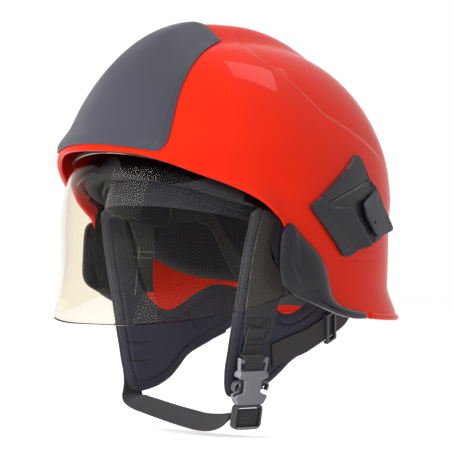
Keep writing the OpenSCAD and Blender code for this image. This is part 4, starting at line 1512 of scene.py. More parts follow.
@dataclass
class HeadLining:
    """Impact liner, brow pad, crown straps and crown pad."""

    brow_side: float = 56.0
    brow_h: float = 26.0
    brow_t: float = 5.0
    crown_w: float = 18.0
    web_t: float = 1.6

    def liner(self) -> Object:
        """Foam bowl 16 mm thick with a rounded rim.

        Returns:
            The piece.
        """
        half = curve(LINER.rim, np.linspace(0, 1, 121))
        ring = np.concatenate([half, half[-2:0:-1] * [-1, 1]])
        el = LINER.elevation(ring[:, 0], ring[:, 1])
        share = np.linspace(0, 1, 61)[:, None]
        d = aim(ring[None, :, 0] + 0 * share, 90 - (90 - el[None]) * share)
        return bowl("impact_liner", LINER.points(d), LINER.points(d, -LINER.t), edge_steps=9)

    def brow_line(self, u: Array, drop: Array, off: Array) -> Array:
        """Points of the brow pad: u from side to side, drop below its upper line.

        Args:
            u: place from side to side.
            drop: length below the line.
            off: offset outwards.

        Returns:
            The points.
        """
        az = self.brow_side * (2 * u - 1)
        top = curve([[0, 44], [14, 43], [30, 37], [45, 28], [58, 22]], np.abs(az) / 58)[..., 1]
        return LINER.at(az, top - drop, off)

    def brow(self) -> Object:
        """Brow pad: quilted in cells 24 mm wide, thin and gathered at its upper and lower seams.

        Returns:
            The piece.
        """
        u, v = lattice(40, 321)
        near = np.minimum(v, 1 - v) * self.brow_h
        side = np.minimum(u, 1 - u) * 260
        body = np.sqrt(1 - (1 - np.clip(np.minimum(near, side) / 9, 0, 1)) ** 2)
        cell = 0.85 + 0.15 * np.abs(np.sin(np.pi * u * 11)) ** 0.5
        gather = 0.12 * np.sin(2 * np.pi * u * 70) * np.exp(-((near - 3.5) / 2.2) ** 2)
        thick = 0.9 + (self.brow_t - 0.9) * body * cell + gather
        out = -LINER.t - 2 * SEAT
        rise = 0.25 * (self.brow_t - 0.9) * (1 - body)
        outer = self.brow_line(u, self.brow_h * v, out - rise)
        inner = self.brow_line(u, self.brow_h * v, out - np.minimum(thick + rise, self.brow_t))
        return slab("brow_pad", outer, inner, edge=0.4, sharp=50)

    def seam(self) -> Object:
        """Gathering stitches along the pad's lower seam, on the side of the head.

        Returns:
            The piece.
        """
        u = np.linspace(0.03, 0.97, 600)
        line = self.brow_line(u, 0 * u + self.brow_h - 3.4, 0 * u - LINER.t - 2 * SEAT - 3.4)
        away = unit(xyz(0 * u, 0 * u - 10, 0 * u + 10) - line * [1, 1, 0])
        return stitches("brow_seam", line, away, 2.6, 1.5, 0.45)

    def strap(self, name: str, az: float, near: float) -> Object:
        """Crown strap: webbing along one great circle under the liner.

        Args:
            name: the strap's name.
            az: its angle round the helmet.
            near: its depth below the liner.

        Returns:
            The piece.
        """
        v, k = lattice(9, 121)
        el = 90 - (90 - 38) * (2 * v.T - 1)
        across = (2 * k.T - 1) * self.crown_w / 2
        s = np.array([math.cos(math.radians(az)), math.sin(math.radians(az)), 0.0])
        depths = [-LINER.t - 2 * SEAT - off for off in (near, near + self.web_t)]
        line = aim(np.full_like(el, az), el)
        faces = [LINER.points(line, depth) + across[..., None] * s for depth in depths]
        obj = slab(name, *[np.swapaxes(face, 0, 1) for face in faces], edge=0.5)
        turn_out(obj)
        return obj

    def crown(self) -> Object:
        """Round crown pad, quilted in rings.

        Returns:
            The piece.
        """
        top = LINER.points(np.array([0.0, 0.0, 1.0]), -LINER.t - 2 * self.web_t - 5 * SEAT)
        r = np.linspace(0, 1, 40)[1:-1]
        low = np.stack([34 * r, -1.6 * np.abs(np.sin(2.5 * np.pi * r)) ** 0.6 - 0.3], -1)
        high = np.stack([34 * r[::-1], 2 + 7.2 * (1 - r[::-1] ** 2) ** 0.8 - 2.0 * r[::-1] ** 6], -1)
        line = np.concatenate([[[0, -0.3]], low, [[34, 0.6]], high, [[0, 9.4]]])
        obj = turned("crown_pad", line, top - [0, 0, 10], [0, 0, 1], 96)
        turn_out(obj)
        return obj

    def build(self) -> None:
        """Makes the lining."""
        place(self.liner(), "helmet", FOAM, "liner_foam", "impact_liner")
        brow = place(self.brow(), "helmet", BROW, "pad_fabric", "brow_pad")
        place(self.seam(), "helmet", PALE_THREAD, "pad_fabric")
        place(joined("crown_straps", [self.strap("crown_a", 90, SEAT),
                                      self.strap("crown_b", 0, 2 * SEAT + self.web_t)]),
              "helmet", WEB, "strap_web", "crown_straps")
        place(self.crown(), "helmet", BROW, "pad_fabric", "crown_pad")


@dataclass
class HeadBand:
    """Front part of the size-adjustable headband, covered in knit."""

    band_x: float = 72.8
    band_z: float = -6.0
    half_h: float = 11.0
    t: float = 1.8

    def band(self) -> Object:
        """Front band: follows the liner inside the brow pad, then runs straight back.

        Returns:
            The piece.
        """
        k, v = lattice(9, 181)
        az = 84 * (2 * k - 1)
        up = self.half_h * (1 - 2 * v)
        z = self.band_z + 18 * np.cos(np.radians(az)) ** 1.5 + up

        def face(off: float) -> Array:
            """The band's surface at an offset, with its straight ends.

            Args:
                off: the offset.

            Returns:
                The grid of points.
            """
            p = LINER.at(az, z, off - 21.9)
            p = xyz(np.sign(p[..., 0]) * np.minimum(np.abs(p[..., 0]), self.band_x + off), p[..., 1],
                          z)
            y = np.linspace(30, 6, 12)[None] + 0 * v[:, :1]
            flat = self.band_z + up[:, :1] + 0 * y
            left = xyz(0 * y - self.band_x - off, y, flat)
            return np.concatenate([left, p, left[:, ::-1] * [-1, 1, 1]], 1)

        return slab("headband", face(0.0), face(-self.t), edge=0.5)

    def build(self) -> None:
        """Makes the band; the cradle and knob keep their exact CAD forms."""
        CARRIERS.append(place(self.band(), "helmet", BROW, "band_plastic", "headband"))


# ---------------------------------------------------------------- harness
def flap_x(y: Array, z: Array) -> Array:
    """Distance of the harness's middle plane from the middle of the head, on the left."""
    return 88 + 0.218 * (z - 5) - 0.0016 * np.maximum(0, y) ** 2


def flap_out(y: Array) -> Array:
    """Outward direction of that plane at a distance behind the ears."""
    return unit(xyz(1 + 0 * y, 0.0032 * np.maximum(0, y), -0.218 + 0 * y))


def on_flap(name: str, inner: tuple, outer: tuple, low: Array | float, high: Array | float,
            rows: int, cols: int, edge: float = 0.4) -> Object:
    """Slab that follows the harness's middle plane between two edge lines.

    Args:
        name: the object's name.
        inner: edge line [y, z] of the first row.
        outer: edge line of the last row.
        low: offset of the inner face from the middle plane, millimetres.
        high: offset of the outer face.
        rows: rows from inner to outer.
        cols: columns along the lines.
        edge: rounding of the edges.

    Returns:
        The object.
    """
    u, v = lattice(rows, cols)
    p = patch(inner, outer, u, v)
    y, z = p[..., 0], p[..., 1]
    x = flap_x(y, z)
    return slab(name, xyz(x + high, y, z), xyz(x + low, y, z), edge=edge)


@dataclass
class Harness:
    """Padded cheek flaps with piping and stitches, side and nape webbing, hangers."""

    pad_t: float = 8.0
    web_w: float = 20.0
    web_t: float = 1.6
    web_in: float = 4.3
    flap_front: tuple = ((-59, -5), (-61, -32), (-61, -70), (-61, -105), (-60, -136), (-52, -152),
                         (-30, -151), (-10, -144), (4, -135), (18, -125), (46, -114), (72, -102), (84, -97))
    flap_back: tuple = ((-34, 7), (-33, -25), (-31, -48), (-27, -64), (-22, -74), (-16, -80), (-9, -85),
                        (0, -87.5), (10, -86.5), (22, -82), (39, -74), (60, -67), (80, -70))
    side_front: tuple = ((-53, -4), (-55.5, -27), (-56, -50), (-55, -78), (-52, -98), (-49.5, -108))
    side_back: tuple = ((-31, 6), (-21.5, -22), (-18, -50), (-16, -70), (-18, -92), (-21, -108))
    nape_mid: tuple = ((-14, -121), (6, -115), (24, -110.8), (36, -106.5), (48, -102.1), (60, -97.8),
                       (72, -93.5), (80, -89.9), (87, -83.5), (94, -76), (101, -68))
    hanger_front: tuple = ((-36.5, 5), (-36.5, -9), (-28.5, -27), (-24, -52), (-19, -72))
    hanger_back: tuple = ((-8, 5), (-8, -13), (-8, -31), (-8.5, -54), (-10, -72))

    def outline(self, n: int) -> Array:
        """The flap's border [y, z], closed: front line down, rear end, back line up, top.

        Args:
            n: points on each line.

        Returns:
            The border.
        """
        t = np.linspace(0, 1, n)
        front, back = curve(self.flap_front, t), curve(self.flap_back, t[::-1])
        tail = patch(self.flap_back, self.flap_front, np.ones(12), np.linspace(1, 0, 12))[1:-1]
        top = patch(self.flap_back, self.flap_front, np.zeros(10), np.linspace(0, 1, 10))[1:-1]
        return np.concatenate([front, tail, back, top])

    def drawn_in(self, by: float) -> Array:
        """The border moved inwards by a length, evened out and smoothed at its corners.

        Args:
            by: the length.

        Returns:
            The new border.
        """
        line = self.outline(260)
        for _ in range(6 if by < 1 else 14):
            line = (np.roll(line, 1, 0) + 2 * line + np.roll(line, -1, 0)) / 4
        t = unit(np.roll(line, -1, 0) - np.roll(line, 1, 0))
        inward = np.stack([-t[:, 1], t[:, 0]], -1)
        area = 0.5 * (line[:, 0] * np.roll(line[:, 1], -1) - np.roll(line[:, 0], -1) * line[:, 1]).sum()
        return line + by * inward * (1 if area > 0 else -1)

    def edge_distance(self, p: Array) -> Array:
        """Shortest distance of points [y, z] from the flap's border.

        Args:
            p: the places.

        Returns:
            The distances.
        """
        line = self.outline(160)
        flat = p.reshape(-1, 1, 2)
        far = np.concatenate([np.linalg.norm(part - line[None], axis=-1).min(1)
                              for part in np.array_split(flat, 12)])
        return far.reshape(p.shape[:-1])

    def pad(self) -> Object:
        """Cheek flap: crowned on both faces, thin at the piping, sunk along the seam.

        Half thickness = 1 + 3 * sqrt(1 - (1 - e/11)^2) at a distance e from the border, less
        1.2 mm in a groove 8 mm inside it, with puckers 7 mm apart across the groove and long
        shallow waves where the foam is bent.

        Returns:
            The piece.
        """
        u, v = lattice(56, 301)
        p = patch(self.flap_back, self.flap_front, u, v)
        y, z = p[..., 0], p[..., 1]
        e = self.edge_distance(p)
        crown = np.sqrt(1 - (1 - np.clip(e / 11, 0, 1)) ** 2)
        groove = np.exp(-((e - 7.5) / 1.3) ** 2)
        run = arc_lengths(p, 1)
        pucker = 0.3 * np.sin(2 * np.pi * run / 7) * np.exp(-((e - 7.5) / 4) ** 2)
        wave = 0.35 * np.sin(2 * np.pi * (y * 0.6 - z) / 46) * crown
        half = 0.9 + (self.pad_t / 2 - 0.9) * crown * (1 - 0.42 * groove) + np.minimum(pucker + wave, 0.0)
        x = flap_x(y, z)
        return slab("cheek_pad_left", xyz(x + half, y, z), xyz(x - half, y, z), edge=0.5)

    def piping(self) -> Object:
        """Bound edge: a round cord 3.2 mm thick that runs once round the flap.

        Returns:
            The piece.
        """
        line = self.drawn_in(1.2)
        path = np.column_stack([flap_x(line[:, 0], line[:, 1]), line])
        return sweep("cheek_piping_left", path, ring_section(1.7, 12),
                     across=flap_out(line[:, 0]), closed=True)

    def seam(self) -> Object:
        """Lock stitches in the groove beside the piping, on both faces.

        Returns:
            The piece.
        """
        line = self.drawn_in(7.5)
        line = np.concatenate([line, line[:1]])
        out = flap_out(line[:, 0])
        mid = np.column_stack([flap_x(line[:, 0], line[:, 1]), line])
        rows = [stitches(f"row{k}", mid + s * 2.55 * out, s * out, 3.0, 1.6, 0.4)
                for k, s in enumerate((1, -1))]
        return joined("cheek_stitch_left", rows)

    def hanger(self) -> Object:
        """Strap that carries the flap, inside the liner's wall.

        Returns:
            The piece.
        """
        u, v = lattice(12, 61)
        p = patch(self.hanger_back, self.hanger_front, u, v)
        inside = LINER.half_w - LINER.t - 7 * SEAT
        x = np.minimum(inside, flap_x(0 * p[..., 0], p[..., 1]) + self.web_in - SEAT)
        fold = 0.35 * np.exp(-((v - 0.12) / 0.03) ** 2) + 0.35 * np.exp(-((v - 0.88) / 0.03) ** 2)
        return slab("strap_hanger_left", xyz(x, p[..., 0], p[..., 1]),
                    xyz(x - 2.7 + fold, p[..., 0], p[..., 1]), edge=0.5)

    def nape_edges(self, half: float) -> tuple[Array, Array]:
        """Edge lines of the nape webbing at a half width from its middle line.

        Args:
            half: the half width.

        Returns:
            The two lines.
        """
        mid = curve(self.nape_mid, np.linspace(0, 1, 61))
        t = unit(np.gradient(mid, axis=0))
        side = np.stack([-t[:, 1], t[:, 0]], -1)
        return mid + half * side, mid - half * side

    def web_stitches(self, name: str, corners: list, off: float) -> Object:
        """Box of stitches with a cross in it, on the harness plane.

        Args:
            name: the object's name.
            corners: four places [y, z] round the box.
            off: height over the middle plane.

        Returns:
            The object.
        """
        c = np.asarray(corners, float)
        runs = [(0, 1), (1, 2), (2, 3), (3, 0), (0, 2), (1, 3)]
        rows = []
        for k, (a, b) in enumerate(runs):
            line = c[a] + np.linspace(0, 1, 30)[:, None] * (c[b] - c[a])
            out = flap_out(line[:, 0])
            pts = np.column_stack([flap_x(line[:, 0], line[:, 1]), line]) + off * out
            rows.append(stitches(f"{name}{k}", pts, out, 2.2, 1.2, 0.3))
        return joined(name, rows)

    def build(self) -> None:
        """Makes both sides of the harness."""
        for obj in both(self.pad(), "helmet", PAD, "pad_fabric", "cheek_pad"):
            CARRIERS.append(obj)
        both(self.piping(), "helmet", PIPING, "pad_fabric")
        both(self.seam(), "helmet", THREAD, "pad_fabric")
        side = on_flap("side_web_left", self.side_back, self.side_front, self.web_in,
                       self.web_in + self.web_t, 30, 121)
        CARRIERS.extend(both(side, "helmet", WEB, "strap_web", "side_web"))
        inner, outer = self.nape_edges(self.web_w / 2)
        nape = on_flap("nape_web_left", tuple(map(tuple, inner)), tuple(map(tuple, outer)), self.web_in,
                       self.web_in + self.web_t, 16, 161)
        both(nape, "helmet", WEB, "strap_web", "nape_web")
        CARRIERS.extend(both(self.hanger(), "helmet", WEB, "strap_web", "strap_hanger"))
        box = self.web_stitches("web_box_left", [(-50, -88), (-24, -88), (-24, -104), (-50, -104)],
                                self.web_in + self.web_t + 0.05)
        both(box, "helmet", THREAD, "strap_web")


# ---------------------------------------------------------------- chin buckle
BUCKLE_AXES = np.array([[0.2079, 0.9781, 0.0], [-0.9568, 0.2034, 0.2079], [0.2034, -0.0432, 0.9781]])
BUCKLE_AT = np.array([69.0, -43.2, -140.0])


def at_buckle(p: Array) -> Array:
    """Buckle coordinates (to the rear, inward, up) as places in the frame."""
    return BUCKLE_AT + np.asarray(p, float) @ BUCKLE_AXES


def rod(name: str, start: tuple, stop: tuple, steps: int, section: Array,
        across: Array | None = None) -> Object:
    """A straight bar or strip between two places in buckle coordinates.

    Args:
        name: the object's name.
        start: its first end.
        stop: its second end.
        steps: rings along it.
        section: its profile.
        across: the profile's side direction in the frame, or None.

    Returns:
        The object.
    """
    return sweep(name, at_buckle(np.linspace(start, stop, steps)), section, across=across)


@dataclass
class ChinStrap:
    """Chin webbing and the buckle's webbing."""

    web_w: float = 20.0
    web_t: float = 1.6
    path: tuple = ((-64.5, -46, -134, 0, 1, 0), (-62, -47, -145, 0, 1, 0), (-59.2, -49, -158, .1, .9, .25),
                   (-49, -51, -162.5, .1, .88, .45), (-36, -50, -165.5, 0, .84, .53),
                   (-18, -48, -169.5, -.2, .75, .58), (0, -46, -173, -.42, .66, .62),
                   (18, -45, -175.5, -.45, .68, .6), (34, -45, -175, -.3, .75, .58),
                   (46.5, -44.5, -171.7, -.1, .85, .45), (55.2, -44, -167.5, .2, .97, .1))

    def chin(self) -> Object:
        """Ribbon under the chin: its width direction turns along the path.

        Returns:
            The piece.
        """
        rows = curve(self.path, np.linspace(0, 1, 161))
        p, across = rows[:, :3], unit(rows[:, 3:])
        t = unit(np.gradient(p, axis=0))
        out = unit(np.cross(across, t))
        return sweep("chin_web", p - out * self.web_t / 2, web_section(self.web_w, self.web_t), across=across)

    def upper(self) -> Object:
        """Webbing from the flap down to the buckle's top bar.

        Returns:
            The piece.
        """
        mid = np.array([[-40, -97], [-40.8, -104.5], [-41.6, -112], [-42.4, -118.5]], float)
        x = flap_x(mid[:, 0], mid[:, 1]) + Harness.web_in + self.web_t + SEAT + self.web_t / 2
        pts = np.column_stack([x, mid])
        pts = np.concatenate([pts, [BUCKLE_AT + [1.4 + self.web_t / 2, -0.3, 19.3]]])
        line = curve(pts, np.linspace(0, 1, 60))
        return sweep("buckle_web", line, web_section(self.web_w, self.web_t),
                     across=np.array([0.0, 1.0, 0.0]))

    def build(self) -> None:
        """Makes the webbing; the buckle's own parts are made by SideBuckle."""
        CARRIERS.append(place(self.chin(), "helmet", WEB, "strap_web", "chin_web"))
        CARRIERS.append(place(self.upper(), "helmet", WEB, "strap_web", "buckle_web"))


@dataclass
class SideBuckle:
    """Side-release buckle in its own axes: waisted socket, plug frame, two sprung prongs."""

    t: float = 8.5
    wall: float = 2.2
    ears: float = 13.2
    bar_z: float = 17.0
    frame_r: float = 12.3
    plug_top: float = -19.9
    plug_foot: float = -37.7
    form: tuple = ((-18.3, 12.4), (-16, 13.0), (-13, 14.6), (-11.6, 15.0), (-10.4, 14.2), (-9.2, 9.4),
                   (-8, 8.1), (-3, 7.8), (1.2, 8.2), (2.4, 9.6), (3.6, 13.2), (5, 14.0), (7.5, 13.4),
                   (9.3, 11.6))
    rail: tuple = ((11.5, 0, 0.2), (13.0, 0, 0.4), (14.8, 0, -0.4), (16.4, 0, -2.6), (16.5, 0, -5.2),
                   (15.2, 0, -7.4))
    ear: tuple = ((11.2, 0, 6), (12.2, 0, 9.5), (12.9, 0, 14), (13.2, 0, 19.6))

    def face(self, name: str, out: int) -> Object:
        """Front (-1) or back (1) half of the socket, one wall thick beside the windows.

        Half width at a height follows the form table; the face is crowned by 0.8 mm across
        and falls 1.2 mm to its upper and lower edges.

        Args:
            name: the mesh's name.
            out: which half.

        Returns:
            The mesh.
        """
        z = np.linspace(9.3, -18.3, 84)[:, None]
        u = np.linspace(-1, 1, 27)[None]
        form = np.asarray(self.form)
        half = np.interp(z, form[:, 0], form[:, 1])
        closed = (z > 3.4) | ((z < -12) & (np.abs(u) > 0.86))
        fall = 1.2 * (smooth((z - 6.5) / 4) + smooth((-15.5 - z) / 4))
        high = self.t / 2 + 0.8 * (1 - u**2) - fall
        low = np.where(closed, 0.02, self.t / 2 - self.wall) + 0 * u
        x = u * half
        grids = [at_buckle(xyz(x, out * y, z + 0 * u)) for y in (high, low)]
        grids = grids if out < 0 else [g[::-1] for g in grids]
        return slab(name, grids[0], grids[1], edge=0.45, sharp=40)

    def socket(self) -> Object:
        """Both halves, the two tapering ears and the bar that the webbing is sewn round.

        Returns:
            The piece.
        """
        parts = [self.face("socket_front", -1), self.face("socket_back", 1)]
        for s in (-1, 1):
            line = at_buckle(curve(np.asarray(self.ear) * [s, 1, 1], np.linspace(0, 1, 24)))
            parts.append(sweep(f"ear{s}", line, ring_section(1.0, 14, 2.2),
                               across=BUCKLE_AXES[0]))
        half = self.ears - 0.5
        parts.append(rod("bar", (-half, 0, self.bar_z), (half, 0, self.bar_z), 9, ring_section(1.7, 20)))
        return joined("buckle_body", parts)

    def plug(self) -> Object:
        """Frame with rounded corners round the webbing's slot, and the tongue above it.

        Returns:
            The piece.
        """
        a = np.linspace(0, 2 * np.pi, 96, endpoint=False)
        mid, high = (self.plug_top + self.plug_foot) / 2, (self.plug_top - self.plug_foot) / 2
        x = self.frame_r * power(np.cos(a), 2 / 9)
        z = mid + high * power(np.sin(a), 2 / 9)
        line = at_buckle(xyz(x, 0, z))
        oval = power(ring_section(1.0, 20), 0.6) * [1.35, 3.3]
        ring = sweep("ring", line, oval, across=line - at_buckle(np.array([0, 0, mid])), closed=True)
        blade = rod("blade", (0, 0, -19.5), (0, 0, 5.2), 12, web_section(8.6, 3.4), BUCKLE_AXES[0])
        return joined("buckle_frame", [ring, blade])

    def painted_highlight_bar(self) -> Object:
        """Light grey bar along the plug frame's lower face: a painted highlight on the dark frame."""
        return rod("buckle_edge_highlight", (-9.5, -3.05, -38), (9.5, -3.05, -38), 16, ring_section(1.15, 14))

    def prong(self, name: str, s: int) -> Object:
        """Sprung arm in a side window: a root inside the socket and a bowed rail outside.

        Args:
            name: the object's name.
            s: -1 for the front arm, 1 for the rear one.

        Returns:
            The object.
        """
        bow = curve(np.asarray(self.rail) * [s, 1, 1], np.linspace(0, 1, 48))
        outward = np.gradient(bow, axis=0)[:, [2, 1, 0]] * [s, 0, -s]
        arm = sweep(name, at_buckle(bow), power(ring_section(1.0, 18), 0.7) * [0.95, 2.5],
                    across=outward @ BUCKLE_AXES)
        parts = [arm]
        for z, reach in ((0.1, 12.2), (-5.6, 12.4)):
            parts.append(rod(name + "_root", (s * 9.2, 0, z), (s * reach, 0, z), 8,
                             ring_section(0.95, 16, 1.5)))
        return joined(name, parts)

    def bight(self) -> Object:
        """Webbing folded round the socket's bar, down to the socket's shoulders."""
        return rod("socket_webbing", (0, 0, 21), (0, 0, 11.2), 24, web_section(20.0, 4.6), BUCKLE_AXES[0])

    def loop(self) -> Object:
        """Webbing folded round the frame's lower bar."""
        return rod("plug_webbing", (0, 0, -36.1), (0, 0, -22.8), 30, web_section(20.0, 3.2), BUCKLE_AXES[0])

    def build(self) -> None:
        """Makes the buckle's pieces on their bodies."""
        CARRIERS.append(place(self.socket(), "helmet", BUCKLE, "buckle_plastic", "buckle_socket"))
        place(self.plug(), "helmet", DARK_PLUG, "buckle_plastic", "buckle_plug")
        # Painted highlight: a light grey bar on the dark plug frame's lower face.
        place(self.painted_highlight_bar(), "helmet", BUCKLE, "buckle_plastic")
        CARRIERS.append(place(self.bight(), "helmet", WEB, "strap_web"))
        place(self.prong("grip_front", -1), "prong_front", GRIP, "buckle_plastic", "buckle_prong_front")
        place(self.prong("grip_rear", 1), "prong_rear", GRIP, "buckle_plastic", "buckle_prong_rear")
        CARRIERS.append(place(self.loop(), "helmet", WEB, "strap_web", "plug_web"))


# ---------------------------------------------------------------- CAD parts kept as they are
KEPT: dict[str, Finish] = {
    "visor_hub_left": CLIP, "visor_hub_right": CLIP, "eye_hub_left": CLIP, "eye_hub_right": CLIP,
    "pivot_pin_left": STEEL, "pivot_pin_right": STEEL, "nape_cradle": BAND, "size_knob": SLIDER,
    "hanger_snaps": STEEL, "nape_slider_left": SLIDER, "nape_slider_right": SLIDER,
}


def dress_kept() -> None:
    """Gives the CAD parts that show as they are their finishes."""
    for node, finish in KEPT.items():
        dress(frame["nodes"][node], finish)


# ---------------------------------------------------------------- studio
@dataclass(frozen=True)
class Camera:
    """The photograph's camera: where it looks, from where and with which lens."""

    azimuth: float = 43.0
    elevation: float = 0.3
    distance: float = 2.0
    lens: float = 191.15
    sensor: float = 36.0
    aim_point: tuple = (0.00097, 0.00091, -0.01575)
    shift_x: float = 0.0
    shift_y: float = 0.0
    width: int = 452
    height: int = 452

    def matrix(self) -> Matrix:
        """Place and turn of the camera: it looks at the aim point, upright.

        Returns:
            The matrix.
        """
        a, e = math.radians(self.azimuth), math.radians(self.elevation)
        back = Vector((math.sin(a) * math.cos(e), -math.cos(a) * math.cos(e), math.sin(e)))
        turn = back.to_track_quat("Z", "Y").to_matrix().to_4x4()
        return Matrix.Translation(Vector(self.aim_point) + back * self.distance) @ turn

    def build(self) -> None:
        """Makes the camera and hands it to the scene."""
        data = bpy.data.cameras.new("photo_camera")
        data.lens, data.sensor_width, data.sensor_fit = self.lens, self.sensor, "AUTO"
        data.shift_x, data.shift_y = self.shift_x, self.shift_y
        data.clip_end = 50.0
        camera = bpy.data.objects.new("photo_camera", data)
        camera.matrix_world = self.matrix()
        bpy.context.collection.objects.link(camera)
        bpy.context.scene.camera = camera


CAMERA = Camera()


@dataclass(frozen=True)
class ImagePoint:
    """A place in the photograph's frame and the pieces whose outermost part or middle it is."""

    x: float
    y: float
    reach: Reach
    pieces: tuple[str, ...] = ()


POINTS: dict[str, ImagePoint] = {
    "helmet_left": ImagePoint(53.5, 315.3, Reach.LEFT),
    "helmet_right": ImagePoint(399.4, 320.0, Reach.RIGHT),
    "helmet_top": ImagePoint(190.0, 24.0, Reach.TOP),
    "helmet_bottom": ImagePoint(203.0, 431.7, Reach.BOTTOM),
    "bracket_tip": ImagePoint(355.8, 155.0, Reach.TOP, ("lamp_bracket_left",)),
    "bracket_front": ImagePoint(310.4, 205.5, Reach.LEFT, ("lamp_bracket_left",)),
    "bracket_low": ImagePoint(345.5, 257.5, Reach.BOTTOM, ("lamp_bracket_left",)),
    "cover_tip": ImagePoint(290.5, 224.0, Reach.TOP, ("side_cover_left",)),
    "visor_low": ImagePoint(120.0, 325.9, Reach.BOTTOM, ("face_visor",)),
    "pad_far_low": ImagePoint(141.5, 392.0, Reach.BOTTOM, ("cheek_pad_right",)),
    "buckle_body": ImagePoint(249.8, 384.5, Reach.MIDDLE, ("buckle_body",)),
    "hanger_upright": ImagePoint(137.5, 272.0, Reach.MIDDLE, ("hanger_upright",)),
    "hanger_fold": ImagePoint(144.0, 254.8, Reach.MIDDLE, ("hanger_fold",)),
    "web_fold": ImagePoint(254.0, 342.0, Reach.MIDDLE, ("web_fold",)),
    "brow_gather": ImagePoint(203.0, 202.0, Reach.MIDDLE, ("brow_gather",)),
}


@dataclass
class Sight:
    """Places trim by the photograph: a ray from the camera meets what carries the piece."""

    carriers: list[Object]

    def __post_init__(self) -> None:
        """Puts the carriers, as finished and placed, into one search tree."""
        graph = bpy.context.evaluated_depsgraph_get()
        points, faces, base = [], [], 0
        for obj in self.carriers:
            mesh = obj.evaluated_get(graph).to_mesh()
            points.append(vertices(mesh))
            faces.extend([[base + i for i in face.vertices] for face in mesh.polygons])
            base += len(mesh.vertices)
            obj.evaluated_get(graph).to_mesh_clear()
        self.tree = BVHTree.FromPolygons(np.concatenate(points).tolist(), faces)

    def meet(self, x: float, y: float) -> tuple[Array, Array]:
        """Where the ray through a point of the frame first meets a carrier.

        A miss takes the place nearest the ray among samples along it.

        Args:
            x: the point's x in the photograph's frame.
            y: the point's y.

        Returns:
            The place in millimetres and the outward direction there.
        """
        long_side = max(CAMERA.width, CAMERA.height)
        local = Vector((x - CAMERA.width / 2 + CAMERA.shift_x * long_side,
                        CAMERA.height / 2 - y + CAMERA.shift_y * long_side,
                        -long_side * CAMERA.lens / CAMERA.sensor))
        place_now = CAMERA.matrix()
        eye = place_now.to_translation()
        ray = (place_now.to_3x3() @ local).normalized()
        hit, normal, _, _ = self.tree.ray_cast(eye, ray)
        if hit is None:
            tries = [self.tree.find_nearest(eye + ray * (1.7 + 0.01 * k)) for k in range(60)]
            hit, normal, _, _ = min(tries, key=lambda found: found[3])
        if normal.dot(ray) > 0:
            normal = -normal
        return np.array(hit) / MM, np.array(normal)

    def line(self, corners: list[tuple[float, float]], n: int = 60) -> tuple[Array, Array]:
        """A line of the photograph laid on the carriers.

        Args:
            corners: its points in the photograph's frame.
            n: how many places are found along it.

        Returns:
            The places in millimetres and the outward directions, both smoothed along the line.
        """
        flat = curve(corners, np.linspace(0, 1, n))
        found = [self.meet(*point) for point in flat.tolist()]
        places, normals = np.array([f[0] for f in found]), np.array([f[1] for f in found])
        for _ in range(3):
            normals[1:-1] = unit(normals[:-2] + normals[1:-1] + normals[2:])
        return places, normals


@dataclass(frozen=True)
class Thread:
    """A stitch: its finish, its length, the space to the next and its radius, millimetres."""

    finish: Finish
    length: float
    gap: float
    r: float


@dataclass
class SewnLines:
    """Stitch rows and folds that are placed by the photograph, and their mirror images."""

    lift: float = 0.12
    hanger_upright: tuple = (((139.7, 246), (137, 270), (134.8, 296)),)
    hanger_fold: tuple = (((136.5, 251.8), (146, 252), (155, 252.4)),
                          ((132.5, 257), (142, 257.6), (152, 258.4)))
    web_fold: tuple = (((244, 339.5), (254, 339.3), (264, 339.5)), ((244, 344.7), (254, 344.6), (264, 344.9)))
    pad_marks: tuple = (((127, 342), (138, 342.6), (149, 341.5)), ((131, 360.5), (140, 361), (148, 359.5)),
                        ((187, 311), (191, 321), (199, 331)))

    def gathers(self) -> list[tuple]:
        """Seventeen short upright folds along the brow pad's lower seam.

        Returns:
            The two ends of each in the photograph's frame.
        """
        share = np.linspace(0, 1, 17)
        x, y = 157 + 91 * share, 181 + 37 * share**0.8
        return [((a - 1.0, b + 2.6), (a + 1.2, b - 2.6)) for a, b in zip(x.tolist(), y.tolist())]

    def sew(self, sight: Sight, name: str, lines: tuple | list, thread: Thread, mirror: bool,
            slot: str) -> None:
        """Sews rows along lines of the photograph.

        Args:
            sight: finds the places.
            name: the piece's name.
            lines: each row's points in the photograph's frame.
            thread: the stitch.
            mirror: True if the other side has them too.
            slot: the record's material slot.
        """
        parts = []
        for k, corners in enumerate(lines):
            places, normals = sight.line(corners)
            parts.append(stitches(f"{name}_{k}", places + self.lift * normals, normals, thread.length,
                                  thread.gap, thread.r))
        piece = joined(name, parts)
        if mirror:
            place(mirrored(piece, name + "_twin"), "helmet", thread.finish, slot)
        place(piece, "helmet", thread.finish, slot)

    def build(self) -> None:
        """Sews the rows that the photograph shows."""
        sight = Sight(CARRIERS)
        pale = Thread(PALE_THREAD, 2.2, 0.7, 0.34)
        self.sew(sight, "hanger_upright", self.hanger_upright, pale, True, "strap_web")
        self.sew(sight, "hanger_fold", self.hanger_fold, pale, True, "strap_web")
        self.sew(sight, "web_fold", self.web_fold, Thread(THREAD, 2.4, 0.5, 0.5), False, "strap_web")
        self.sew(sight, "pad_marks", self.pad_marks, Thread(THREAD, 2.6, 0.1, 0.6), True, "pad_fabric")
        self.sew(sight, "brow_gather", self.gathers(), Thread(GATHER, 3.4, 0.4, 0.42), False, "pad_fabric")


